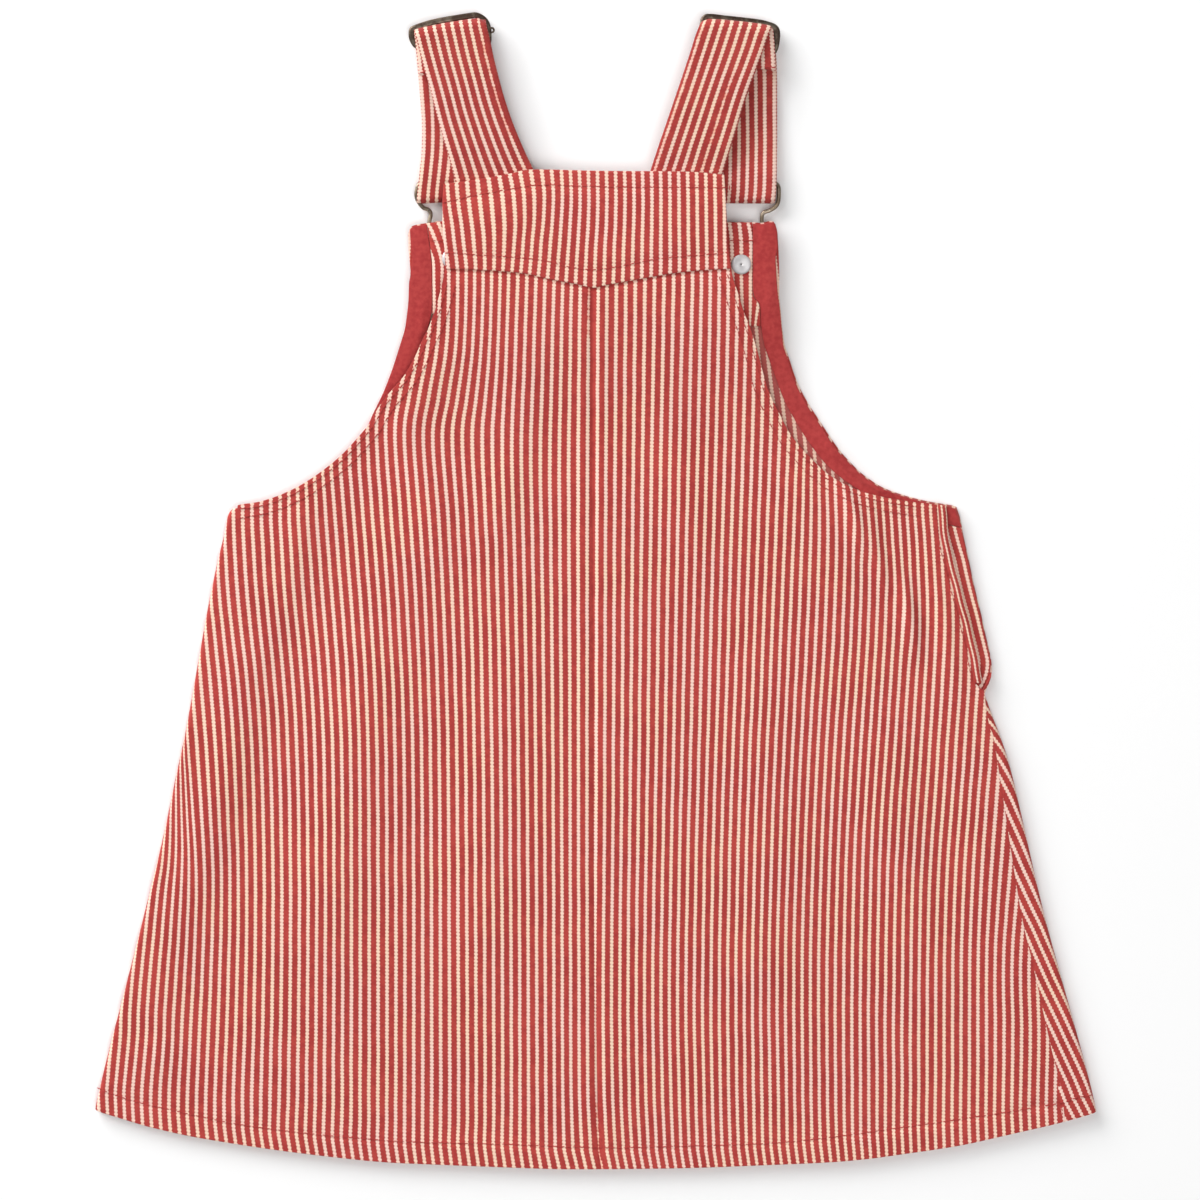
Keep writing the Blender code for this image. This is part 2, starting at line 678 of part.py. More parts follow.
def build_dress():
    striped = new_material("striped_twill", STRIPED, 0.85, 0.0)
    red = new_material("red_twill", RED, 0.85, 0.0)
    brass = new_material("antique_brass", BRASS, 0.4, 0.9)
    wire = new_material("brass_wire", WIRE, 0.35, 0.9)
    steel = new_material("nickel_tack", STEEL, 0.3, 0.9)
    build_back_left(striped)
    build_back_right(striped)
    build_front(striped)
    build_yoke(striped)
    build_armhole_facing("armhole_facing_left", BIB_LEFT, -1.0, FACING_END_LEFT, red)
    build_armhole_facing("armhole_facing_right", BIB_RIGHT, 1.0, FACING_END_RIGHT, red)
    build_bib_facing(striped)
    build_placket(striped)
    build_strap("strap_left", UP_RUN_LEFT, DOWN_RUN_LEFT, TURN_LEFT, False, striped)
    build_strap("strap_right", UP_RUN_RIGHT, DOWN_RUN_RIGHT, TURN_RIGHT, True, striped)
    build_slider("slider_left", TURN_LEFT, SLIDER_TILT, brass)
    build_slider("slider_right", TURN_RIGHT, -SLIDER_TILT, brass)
    build_hook("hook_left", BUTTON_LEFT[0], wire)
    build_hook("hook_right", BUTTON_RIGHT[0], wire)
    build_button("left", BUTTON_LEFT, brass, steel)
    build_button("right", BUTTON_RIGHT, brass, steel)


for old in list(bpy.data.objects):
    bpy.data.objects.remove(old, do_unlink=True)
dress = bpy.data.collections.new(COLLECTION)
bpy.context.scene.collection.children.link(dress)
build_dress()
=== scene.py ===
import math

import bmesh
import bpy
import numpy as np
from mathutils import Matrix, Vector


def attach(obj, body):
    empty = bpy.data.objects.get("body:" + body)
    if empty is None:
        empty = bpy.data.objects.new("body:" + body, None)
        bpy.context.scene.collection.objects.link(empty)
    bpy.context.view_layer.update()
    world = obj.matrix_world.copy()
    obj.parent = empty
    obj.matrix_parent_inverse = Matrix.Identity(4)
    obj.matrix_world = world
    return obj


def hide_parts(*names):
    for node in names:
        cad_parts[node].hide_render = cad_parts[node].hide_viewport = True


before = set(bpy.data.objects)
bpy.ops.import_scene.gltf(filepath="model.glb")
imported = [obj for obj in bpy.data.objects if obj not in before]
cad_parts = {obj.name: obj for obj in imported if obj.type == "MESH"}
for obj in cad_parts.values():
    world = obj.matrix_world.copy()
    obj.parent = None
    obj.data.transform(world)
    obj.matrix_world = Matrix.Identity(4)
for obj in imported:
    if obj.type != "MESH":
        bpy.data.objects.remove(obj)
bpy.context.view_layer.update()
print("frame loaded")

mm = 0.001  # of a metre; lengths and heights below are in millimetres


# lines and surfaces

def smoothStep(low, high, value):
    share = np.clip((value - low) / (high - low), 0.0, 1.0)
    return share * share * (3.0 - 2.0 * share)


def mix(first, second, share):
    return first + (second - first) * share


def smoothLine(points, steps=8):
    points = np.array(points, dtype=float)
    ends = np.vstack([2 * points[0] - points[1], points, 2 * points[-1] - points[-2]])
    t = np.arange(steps)[:, None] / steps
    parts = []
    for a, b, c, d in zip(ends, ends[1:], ends[2:], ends[3:]):
        bend = (2 * a - 5 * b + 4 * c - d) * t ** 2 + (3 * b - a - 3 * c + d) * t ** 3
        parts.append(b + 0.5 * ((c - a) * t + bend))
    return np.vstack(parts + [points[-1:]])


def along(points, shares):
    line = smoothLine(points)
    reach = np.concatenate([[0.0], np.cumsum(np.hypot(*np.diff(line, axis=0).T))])
    places = np.asarray(shares) * reach[-1]
    return np.column_stack([np.interp(places, reach, line[:, n]) for n in range(line.shape[1])])


def even(count):
    return np.linspace(0.0, 1.0, count + 1)


def closeAtEnds(count, tight=0.5):  # shares that crowd towards both edges
    t = even(count)
    return t - tight * np.sin(2 * np.pi * t) / (2 * np.pi)


def yOn(points, x):  # points run to the right
    line = smoothLine(points)
    return np.interp(x, line[:, 0], line[:, 1])


def xOn(points, y):  # points run down
    line = smoothLine(points)
    return np.interp(-np.asarray(y, dtype=float), -line[:, 1], line[:, 0])


def shifted(points, dx, dy=0.0):
    return np.array(points, dtype=float) + (dx, dy)


def beside(points, width):  # a line at one side of another, width to its left as it runs
    line = smoothLine(points)
    slope = np.gradient(line, axis=0)
    slope /= np.hypot(slope[:, 0], slope[:, 1])[:, None]
    return line + np.column_stack([-slope[:, 1], slope[:, 0]]) * width


viewFrom = (2.42, -4.18, 2004.0)  # where the photo was taken from
viewReach = 2000.0  # how far that is above the plane, at 4 mm, on which pixels are measured
pixel, photoMiddle = 0.44, 600.0  # a photo pixel's width there, and the photo's middle in pixels


def fromPhoto(*places, height=4.0):  # photo pixels to millimetres, for cloth at that height
    scale = pixel * (viewFrom[2] - height) / viewReach
    return [((px - photoMiddle) * scale + viewFrom[0], (photoMiddle - py) * scale + viewFrom[1])
            for px, py in places]



def drawn(stripes):  # numbered stripes, each read at some places down the photo
    return [(number, fromPhoto(*places)) for number, places in stripes.items()]


def seen(x, y, z):  # where a point shows in that view, at a height of 4 mm
    share = viewReach / (viewFrom[2] - z)
    return (x - viewFrom[0]) * share + viewFrom[0], (y - viewFrom[1]) * share + viewFrom[1]


def downShare(line):  # 0 at a line's upper end and 1 at its lower end
    return (line[0, 1] - line[:, 1]) / (line[0, 1] - line[-1, 1])


def fillAcross(left, right, shares):  # a grid of points between two lines
    across = shares[None, :, None]
    return left[:, None, :] * (1 - across) + right[:, None, :] * across


def planes(grid):  # its x and its y
    return grid[..., 0], grid[..., 1]


def fillBetween(left, right, topShape, lowShape, shares):  # its end rows bow as the shapes do
    grid = fillAcross(left, right, shares)

    def bow(shape, start, end):
        line = shape(mix(start[0], end[0], shares))
        return line - mix(line[0], line[-1], shares)

    top, low = bow(topShape, left[0], right[0]), bow(lowShape, left[-1], right[-1])
    grid[:, :, 1] += mix(top[None, :], low[None, :], downShare(right)[:, None])
    return grid


def hemY(x):
    return yOn(edge["hem"], x)


def meetHem(line):  # a side's lower end is moved on to the hem
    miss = hemY(line[-1, 0]) - line[-1, 1]
    line[:, 1] += miss * smoothStep(*build["sideToHem"], line[:, 1])
    return line


def reachTop(grid, inset):  # the first rows rise to the bib's top edge
    rise = yOn(edge["bibTop"], grid[0, :, 0]) - inset - grid[0, :, 1]
    down = grid[0, :, 1].mean() - grid[..., 1]
    grid[..., 1] += rise[None, :] * (1.0 - smoothStep(0.0, 12.0, down))
    return grid


def ripple(x, y, seed):  # a soft uneven wave between -1 and 1
    return (np.sin(x * 0.11 + y * 0.037 + seed) + np.sin(y * 0.083 - x * 0.029 + 2.1 * seed)
            + np.sin((x + y) * 0.061 + 3.7 * seed)) / 3.0


# the dress's outlines, as it lies face down

edge = {
    "yokeSeam": fromPhoto(
        (445.3, 269.4), (466, 269.6), (480, 270.3), (499, 271.2), (525.2, 274), (545, 278.4),
        (560, 281.5), (575.8, 284.2), (584.2, 286.3), (593.8, 288.2), (602.9, 286), (612.5, 284.2),
        (621.7, 282.5), (631.7, 280.8), (648, 277.8), (677.5, 273), (703, 270.5), (731.5, 268.9),
        height=9.2),
    "yokeTop": fromPhoto(
        (443.6, 183.7), (469.5, 180.5), (509.3, 173.7), (533.1, 169.4), (595.6, 170.7), (686.5, 171.6),
        (724.3, 174.6), height=9.4),
    "yokeLeft": fromPhoto(
        (443.6, 183.7), (442.3, 203), (442.6, 214), (442.4, 223), (443.2, 235), (444.5, 250.5),
        (445.3, 262), (445.3, 269.4), height=9.2),
    "yokeRight": fromPhoto(
        (724.3, 174.6), (726.3, 208.7), (727.4, 238), (728.5, 250), (731.5, 268.9), height=9.2),
    "backArmholeLeft": fromPhoto(
        (445.3, 269.4), (442.3, 282.9), (440.7, 290), (438, 300), (435.6, 309), (430.7, 322),
        (427.6, 330), height=8.0)
    + fromPhoto(
        (422.4, 340.7), (417.6, 352.2), (407.6, 371.1), (398.3, 383.3), (389, 393.6), (379.4, 406.2),
        (372.8, 417.5), (367.3, 426.2), (359.4, 435.6), (350.6, 445.6), (342.2, 454.2), (332.8, 462.4),
        (323.9, 469.5), (315, 476), (306.1, 481.8), (297.2, 486.9), (288.3, 491.3), (279.4, 495.2),
        (271.1, 498.2), (261.7, 501), (252.8, 502.8), (243, 503.9), (237.4, 505.2), (232.6, 508.2)),
    "backArmholeRight": fromPhoto(
        (731.5, 268.9), (732, 274), (734.2, 282), (737.8, 292.5), (741, 303), (744.6, 314), (748, 321.5),
        (751.2, 330), height=8.0)
    + fromPhoto(
        (754.6, 342.5), (757.4, 352), (760.4, 363), (763, 373), (769, 392), (782, 418.5), (792.2, 436.5),
        (813.8, 461), (833.1, 477.6), (859.3, 490.5), (884.3, 497.3), (913.8, 502.1), (931.3, 503.9)),
    "bibLeft": fromPhoto(
        (407.9, 233.6), (408.2, 242), (408.6, 250.7), (409.5, 260.7), (410.4, 272), (409.6, 279.3),
        (408.8, 286.4), (408.2, 300.7), (406.8, 315), (405, 329.3), (401.7, 341.1), (392.8, 368.9),
        (385, 388.9), (379.4, 401.1), (373.9, 412.2), (369.4, 422.2), height=6.0)
    + fromPhoto(
        (361, 437), (345, 456), (326, 472), (300, 488), (270, 500.5), (243, 508.5), (237.7, 511.9)),
    "bibRight": fromPhoto(
        (777.5, 231.7), (778.3, 244), (778.8, 255), (779.2, 265), (779.4, 277.5), (779.3, 290),
        (779.5, 298), (780.4, 306), (781.2, 315), (782, 325), (783.3, 334), (785, 345), (790, 359.3),
        (794.4, 373.3), (801, 388.9), (810, 405), (820.9, 421.5), (830.9, 436.9), (841, 451), height=6.0)
    + fromPhoto(
        (852, 463.5), (862.5, 473.6), (877.9, 484.4), (888, 489.4), (898.4, 493.2), (908.6, 496.4),
        (924, 500.2), (934, 502.2), (944.5, 503.9), (954.8, 505.6), (956.8, 506.6)),
    "bibTop": fromPhoto(
        (407.9, 233.6), (408.9, 229.6), (410.9, 226.8), (413.2, 225.4), (419.5, 223.8), (425, 223.1),
        (438.6, 221.4), (446, 221), (594, 221), (700, 221.6), (740, 221.7), (753, 222), (759, 222.7),
        (765, 222), (770, 220.6), (773.3, 221.3), (775.8, 224.6), (777, 228.2), (777.5, 231.7),
        height=6.0),
    "openingBack": [(154.7, 37.6), (156.3, 22.0), (159.5, 8.0), (167.2, -21.8), (170.9, -40.7)],
    "openingFront": fromPhoto(
        (956.8, 506.6), (961, 519), (963.9, 535), (968.4, 555), (972.5, 575), (977, 595), (981.9, 615),
        (986.2, 635), (990.6, 653), (992.4, 664), (991.8, 676), (988.6, 686), (984.6, 694.2)),
    "rightSeam": [(171.4, -44.7), (171.7, -49.7), (173.6, -60.0), (176.0, -69.0),
                  (186.8, -138.0), (193.2, -167.0), (200.2, -199.0), (204.5, -216.5),
                  (206.8, -233.4)],
    "rightSide": fromPhoto(
        (984.6, 694.2), (992, 715), (999.7, 735), (1006.6, 755), (1012.1, 775), (1016.9, 795),
        (1025.9, 835), (1034.9, 875), (1044.4, 915), (1055, 955), (1066.2, 995), (1077.4, 1035),
        (1088.2, 1075), (1093, 1095), (1096.4, 1111), height=1.9),
    "leftSide": fromPhoto(
        (233.5, 508.2), (228.5, 513.6), (226.5, 522), (224.1, 535), (219.1, 555), (214.6, 575),
        (206.5, 615), (199.4, 655), (192.3, 695), (184.9, 735), (176.2, 775), (167.9, 815), (158.9, 855),
        (148.9, 895), (138.9, 935), (128.5, 975), (117.9, 1015), (107.3, 1055), (97.5, 1095),
        (95.3, 1107.5), height=1.9),
    "hem": fromPhoto(
        (94.4, 1107.5), (96.5, 1110), (103, 1112.6), (125, 1119.4), (140, 1124), (155, 1128),
        (185, 1134.9), (215, 1140.3), (245, 1145.2), (275, 1149.6), (305, 1153.5), (335, 1157.1),
        (365, 1160.3), (395, 1162.6), (425, 1163.9), (485, 1166.3), (545, 1168.5), (575, 1168.9),
        (635, 1168.6), (695, 1167.6), (755, 1165.3), (815, 1162.8), (845, 1160.9), (875, 1157.8),
        (905, 1153.6), (935, 1149.3), (965, 1144.3), (995, 1137.6), (1025, 1130.7), (1055, 1123.8),
        (1085, 1115.5), (1093, 1112.9), (1096.4, 1111), height=2.0),
    "hemStitch": fromPhoto(
        (96.5, 1087.5), (98.7, 1088.6), (106.5, 1092), (124.5, 1098.5), (142, 1103.5), (168.6, 1109.5),
        (196.5, 1116), (224.2, 1121.8), (260.7, 1127.8), (287.6, 1131.2), (314.3, 1134.2), (341.2, 1137),
        (377.3, 1140), (404.5, 1141.8), (440, 1143), (494, 1144.2), (528.9, 1145.3), (555.4, 1146.6),
        (611.2, 1148), (644.2, 1147.4), (705.8, 1145.8), (767.1, 1143.7), (795.7, 1141.3),
        (824.3, 1138.3), (852.7, 1134.8), (885.5, 1130), (943.5, 1122), (969.2, 1118), (1003.2, 1113),
        (1029.1, 1108.5), (1054.6, 1104.3), (1066.4, 1101.4), (1074.3, 1098.4), (1083.6, 1096.4),
        (1089.5, 1095.4)),
    "centreBack": [(-0.9, 133.3), (0.0, -136.0), (0.8, -195.0), (1.7, -241.3), (3.0, -254.5)],
}

build = {
    "cloth": 1.0, "hemCloth": 1.5, "yokeCloth": 1.6, "strapCloth": 1.4, "bindingCloth": 1.3,
    "gap": 0.3, "hemDepth": 9.0, "fold": 1.85, "bibRise": 3.9, "bodyGap": 0.6, "edgeGap": 1.7,
    "yokeUnderside": 7.8, "bindingWidth": 3.5,
    "seamLap": 0.4,  # each side of a pressed seam runs this far under the other
    "foldedUnder": (3.0, 13.6),  # the left back panel's reach under the dress, at top and hem
    "sideToHem": (-150.0, -232.0), "foldToHem": (-150.0, -222.0),  # where each bends to the hem
    "armRows": 76, "bibRows": 70, "foldSteps": 12, "flatSteps": 6,
    "backColumns": 84, "frontColumns": 96, "facingRows": 110, "facingColumns": 12,
    "yokeRows": 34, "yokeColumns": 90,
}

# Soft ridges of the skirt: where each starts and ends, its half width, height and bow.
creases = [
    ((103, 59), (120, 10), 3.4, 2.1, 2.0), ((120, 45), (131, -4), 3.2, 1.7, -2.0),
    ((130, 20), (141, -34), 3.5, 2.0, 2.5), ((148, 20), (160, -60), 5.0, 0.9, 2.0),
    ((-62, 108), (-86, 60), 8.0, 1.0, -3.0), ((-92, 78), (-66, 10), 7.0, 0.9, 4.0),
    ((-128, 40), (-150, -40), 7.0, 0.9, 3.0), ((-30, 118), (-44, 20), 9.0, 0.7, 3.0),
    ((28, 116), (52, -20), 10.0, 0.8, -4.0), ((-150, -20), (-184, -150), 11.0, 0.9, 5.0),
    ((-100, -10), (-128, -170), 14.0, 0.9, 6.0), ((-38, -20), (-52, -190), 15.0, 0.8, -5.0),
    ((66, -30), (78, -180), 14.0, 0.9, 5.0), ((126, -50), (158, -190), 13.0, 0.9, -6.0),
    ((-196, -196), (-176, -226), 6.0, 0.8, 0.0),
]


def swell(distance, height, width):  # a soft ridge, or a groove where it is taken away
    return height * np.exp(-(distance / width) ** 2)


def ridges(x, y, lines):
    total = 0.0
    for start, end, width, height, bow in lines:
        a, b = np.array(start, dtype=float), np.array(end, dtype=float)
        run = b - a
        length = math.hypot(*run)
        run /= length
        share = ((x - a[0]) * run[0] + (y - a[1]) * run[1]) / length
        inside = np.clip(share, 0.0, 1.0)
        off = (x - a[0]) * run[1] - (y - a[1]) * run[0] + bow * np.sin(np.pi * inside)
        past = (share - inside) * length
        uneven = 1.0 + 0.3 * np.sin(share * 7.0 + width)
        fade = np.sin(np.pi * inside) ** 0.7
        total = total + height * uneven * fade * np.exp(-(off ** 2 + past ** 2) / width ** 2)
    return total


relief = {  # the back's soft shape
    "nearSide": (34.0, 8.0), "calmSide": (0.0, 14.0), "waveSide": (0.0, 26.0),
    "nearYoke": (-20.0, 55.0), "toYoke": (55.0, 133.0), "waveTop": (100.0, 10.0),
    "fan": 240.0,  # the skirt's waves spread from this far up
    # heights and half widths
    "hemStitch": (0.35, 1.3), "yokeSeam": (0.6, 1.3), "centreSeam": (0.55, 1.1),
    "seamRidge": (0.25, 2.6), "hemPucker": (0.12, 6.0),
    "ridgeFromSeam": 4.0,
}


def bibLift(y):
    return build["bibRise"] * smoothStep(75.0, 143.0, y)


def facingTop(y):
    return bibLift(y) + 2 * build["cloth"] + build["gap"]


def hemShare(x, y):  # 1 on the turned-up hem, 0 above it
    depth = build["hemDepth"]
    return 1.0 - smoothStep(depth - 1.0, depth + 6.0, y - hemY(x))


def sideDistance(x, y):
    left = x - xOn(edge["leftSide"], y) - build["fold"]
    seam, opening = edge["rightSeam"], edge["openingBack"]
    right = np.where(y < seam[0][1], xOn(seam, y), xOn(opening, y)) - x
    return np.where(x < 0.0, left, right)


def softWaves(x, y):
    fan = x / (relief["fan"] - y)
    waves = np.sin(fan * 17.0 + 0.7) + 0.6 * np.sin(fan * 29.0 + y / 55.0)
    fade = smoothStep(*relief["waveTop"], y) * smoothStep(*relief["waveSide"], sideDistance(x, y))
    return fade * (0.45 + 0.28 * waves)


def backTop(x, y):
    cloth, hemCloth, gap = build["cloth"], build["hemCloth"], build["edgeGap"]
    nearSide = 1.0 - smoothStep(*relief["nearSide"][::-1], sideDistance(x, y))
    raised = np.maximum(nearSide, smoothStep(*relief["nearYoke"], y))
    hem = hemShare(x, y)
    under = cloth + mix(build["bodyGap"], gap, raised)
    under = under + (build["yokeUnderside"] - cloth - gap) * smoothStep(*relief["toYoke"], y)
    under = under + (hemCloth - cloth) * hem * (1.0 - nearSide)
    top = under + mix(cloth, hemCloth, hem * (1.0 - nearSide)) + softWaves(x, y) * (1.0 - hem)
    calm = smoothStep(*relief["calmSide"], sideDistance(x, y)) * (1.0 - hem)
    top = top + ridges(x, y, creases) * calm
    stitches = y - yOn(edge["hemStitch"], x)
    top = top - swell(stitches, *relief["hemStitch"])  # they pull the hem down
    pucker, width = relief["hemPucker"]
    top = top + swell(stitches, pucker * np.sin(x * 0.8 + np.sin(x * 0.21) * 2.0), width)
    top = top - swell(yOn(edge["yokeSeam"], x) - y, *relief["yokeSeam"])
    seam = np.abs(x - xOn(edge["centreBack"], y))
    top = top - swell(seam, *relief["centreSeam"])
    return top + swell(seam - relief["ridgeFromSeam"], *relief["seamRidge"])


# materials

def fillSocket(tree, socket, value):
    if isinstance(value, bpy.types.NodeSocket):
        tree.links.new(value, socket)
    else:
        socket.default_value = value


def addNode(tree, kind, settings, sockets):
    made = tree.nodes.new(kind)
    for key, value in settings.items():
        setattr(made, key, value)
    for key, value in sockets.items():
        fillSocket(tree, made.inputs[key], value)
    return made


class Value:  # a node's output, which sums and products can use

    def __init__(self, shader, socket):
        self.shader, self.socket = shader, socket

    def math(self, operation, first, second=0.0):
        return self.shader.node("ShaderNodeMath", {"operation": operation},
                                {0: first, 1: second})

    def __add__(self, other):
        return self.math("ADD", self, other)

    def __sub__(self, other):
        return self.math("SUBTRACT", self, other)

    def __mul__(self, other):
        return self.math("MULTIPLY", self, other)

    def __truediv__(self, other):
        return self.math("DIVIDE", self, other)

    def call(self, operation, second=0.0):
        return self.math(operation, self, second)

    def zigzag(self):  # 0.5 at each whole number and 0 halfway
        return (self.call("FRACT") - 0.5).call("ABSOLUTE")

    def other(self, name):
        return Value(self.shader, self.socket.node.outputs[name])


class Shader:  # one material and the nodes in it

    def __init__(self, name):
        self.material = bpy.data.materials.new(name)
        self.material.use_nodes = True
        self.tree = self.material.node_tree
        self.surface = self.tree.nodes["Principled BSDF"]

    def node(self, kind, settings, sockets, output=0):
        plain = {key: getattr(value, "socket", value) for key, value in sockets.items()}
        return Value(self, addNode(self.tree, kind, settings, plain).outputs[output])

    def finish(self, **inputs):
        for key, value in inputs.items():
            fillSocket(self.tree, self.surface.inputs[key.replace("_", " ")],
                       getattr(value, "socket", value))
        return self.material

    def place(self):
        return self.node("ShaderNodeTexCoord", {}, {}, output="Object")

    def split(self, vector):  # its X, and its Y and Z as others
        return self.node("ShaderNodeSeparateXYZ", {}, {0: vector})

    def across(self):  # the place across the cloth; its other("Y") is the place along the grain
        return self.split(self.node("ShaderNodeUVMap", {"uv_map": "cloth"}, {}))

    def blend(self, share, first, second):  # colours
        colors = [(*c, 1.0) if isinstance(c, tuple) else c for c in (first, second)]
        return self.node("ShaderNodeMix", {"data_type": "RGBA"},
                         {0: share, 6: colors[0], 7: colors[1]}, output=2)

    def soft(self, value, low, high, start=0.0, end=1.0):  # a smooth step between low and high
        return self.node("ShaderNodeMapRange", {"interpolation_type": "SMOOTHSTEP"},
                         {0: value, 1: low, 2: high, 3: start, 4: end})

    def speckle(self, place, scale, detail=2.0, rough=0.5):
        return self.node("ShaderNodeTexNoise", {},
                         {"Vector": place, "Scale": scale, "Detail": detail, "Roughness": rough})

    def bump(self, height, strength, distance):
        return self.node("ShaderNodeBump", {}, {"Strength": strength, "Distance": distance * mm,
                                                "Height": height})

    def finishCloth(self, color, shade, fine, height, sheen=0.12):
        shaded = self.node("ShaderNodeVectorMath", {"operation": "SCALE"},
                           {0: color, "Scale": shade})
        return self.finish(
            Base_Color=shaded, Roughness=self.soft(fine, 0.3, 0.7, 0.82, 0.94),
            Normal=self.bump(height, 0.35, 0.12), Sheen_Weight=sheen, Sheen_Roughness=0.5,
            Specular_IOR_Level=0.2)


twill = {
    "creamWarm": (0.93, 0.660, 0.500), "creamCool": (0.92, 0.635, 0.545),
    "redDeep": (0.40, 0.040, 0.036), "redLight": (0.49, 0.058, 0.049),
    "seamTint": (0.84, 0.30, 0.21), "wrongTint": (0.50, 0.30, 0.27), "wrongShare": 0.2,
    "halfCream": 0.180,  # half a cream stripe, as a share of the pitch
    "edgeSoft": 0.028, "wander": 0.10,
    "tooth": 1.55, "toothDepth": 0.058, "toothLean": 0.34,
    "endsPerStripe": 11.0, "pick": 0.52, "seamFade": 6.0,
    "end": 0.42, "plainPick": 0.5,  # of the plain red cloth
}


def stripedTwill(name, wrongSide=False, seams=(), depth=1.0):
    # seams are stripes that a sewn seam thins, breaks and tints: number, lowest and highest
    # place along the grain, strength
    shader = Shader(name)
    place, across = shader.place(), shader.across()
    grain = across.other("Y")
    broad = shader.speckle(place, 55.0, 1.0)
    fine = shader.speckle(place, 420.0)
    across = across + (broad - 0.5) * twill["wander"]
    stripe = (across + 0.5).zigzag()
    tooth = (grain / twill["tooth"] + across * twill["toothLean"]).zigzag()
    edgeAt = (tooth - 0.25) * (4 * twill["toothDepth"]) + twill["halfCream"] + (fine - 0.5) * 0.03
    caught = None
    for number, low, high, strength in seams:
        near = shader.soft((across - number).call("ABSOLUTE"), 0.30, 0.42, strength, 0.0)
        for end, past in ((low, 1.0), (high, 0.0)):
            near = near * shader.soft(grain, end - twill["seamFade"], end + twill["seamFade"],
                                      1.0 - past, past)
        caught = caught + near if caught else near
    if caught:
        broken = shader.soft(shader.speckle(place, 330.0, 1.0), 0.42, 0.58)
        edgeAt = edgeAt - caught * (broken * 0.06 + 0.045)
    cream = shader.soft(edgeAt - stripe, -twill["edgeSoft"], twill["edgeSoft"])
    warmth = shader.soft(shader.speckle(place, 30.0, 1.0), 0.35, 0.65)

    def toneWithPaintedShade(tone, share):
        return tuple(share * part for part in twill[tone])

    # depth below 1 darkens the whole cloth, the cream less than the red: partly a deeper dye, partly
    # painted shade
    creamShadeFactor = 0.4 + 0.6 * depth
    light = shader.blend(warmth, toneWithPaintedShade("creamWarm", creamShadeFactor), toneWithPaintedShade("creamCool", creamShadeFactor))
    if caught:
        light = shader.blend(caught * (broken * 0.6 + 0.25), light, twill["seamTint"])
    deep = shader.blend(shader.soft(fine * 0.6 + broad * 0.4, 0.38, 0.62),
                        toneWithPaintedShade("redDeep", depth), toneWithPaintedShade("redLight", depth))
    color = shader.blend(cream, deep, light)
    turns = 2 * math.pi * twill["endsPerStripe"]
    ends = (across * turns).call("SINE")
    diagonal = (across * (turns / 4) + grain * (2 * math.pi / (4 * twill["pick"]))).call("SINE")
    weave = ends * 0.35 + diagonal * 0.5
    if wrongSide:
        color = shader.blend(twill["wrongShare"], color, twill["wrongTint"])
    toothed = cream * ((tooth - 0.25) * 0.28)
    shade = shader.soft(weave, -0.9, 0.9, 0.93, 1.0) + toothed
    return shader.finishCloth(color, shade, fine, fine * 0.5 + weave * 0.5)


def plainTwill(name, deep, light, sheen=0.12):
    shader = Shader(name)
    place, across = shader.place(), shader.across()
    fine, broad = shader.speckle(place, 500.0), shader.speckle(place, 60.0)
    ends = (across * (2 * math.pi / twill["end"])).call("SINE")
    weave = ends * (across.other("Y") * (2 * math.pi / twill["plainPick"])).call("SINE")
    color = shader.blend(shader.soft(fine * 0.75 + broad * 0.25, 0.32, 0.68), deep, light)
    shade = shader.soft(weave, -1.0, 1.0, 0.93, 1.0)
    return shader.finishCloth(color, shade, fine, weave * 0.6 + fine * 0.4, sheen)


def wornMetal(name, dark, worn, roughLow, roughHigh, scale=260.0):
    shader = Shader(name)
    place = shader.place()
    patches = shader.speckle(place, scale, 4.0, 0.6)
    scratches = shader.speckle(place, scale * 6)
    return shader.finish(
        Base_Color=shader.blend(shader.soft(patches, 0.42, 0.68), dark, worn), Metallic=0.9,
        Roughness=shader.soft(patches * 0.7 + scratches * 0.3, 0.3, 0.7, roughHigh, roughLow),
        Normal=shader.bump(scratches, 0.12, 0.05))


def tackMetal(name, centre):  # nickel; the sheen of its turned face is painted into the colour, and painted shade fills its centre hole
    shader = Shader(name)
    place = shader.place()
    local = shader.split(shader.node("ShaderNodeMapping", {}, {
        "Vector": place, "Location": (-centre[0] * mm, -centre[1] * mm, 0.0)}))
    up = local.other("Y")
    angle = local.math("ARCTAN2", up, local)
    # painted sheen: lighter and darker lobes round the centre, brightest towards the right
    paintedSheen = (angle * 2.0 + 0.9).call("SINE") * 0.3 + (angle - 0.4).call("COSINE") * 0.2 + 0.5
    fine = shader.speckle(place, 900.0)
    radius = (up * up + local * local).call("SQRT")
    # painted shade in the tack's centre hole
    eye = shader.soft(radius, 0.15 * mm, 0.6 * mm, 1.0, 0.0)
    color = shader.blend(shader.soft(paintedSheen + (fine - 0.5) * 0.2, 0.0, 1.0),
                         (0.49, 0.47, 0.475), (0.76, 0.735, 0.735))
    return shader.finish(
        Base_Color=shader.blend(eye, color, (0.16, 0.15, 0.15)), Metallic=0.35,
        Roughness=shader.soft(fine, 0.3, 0.7, 0.40, 0.52), Normal=shader.bump(fine, 0.1, 0.03))


striped = stripedTwill("stripedTwill")
centreStriped = stripedTwill("backTwill", seams=((-1.0, 112.0, 140.0, 0.8),
                                                 (0.0, -260.0, -222.0, 0.8)))
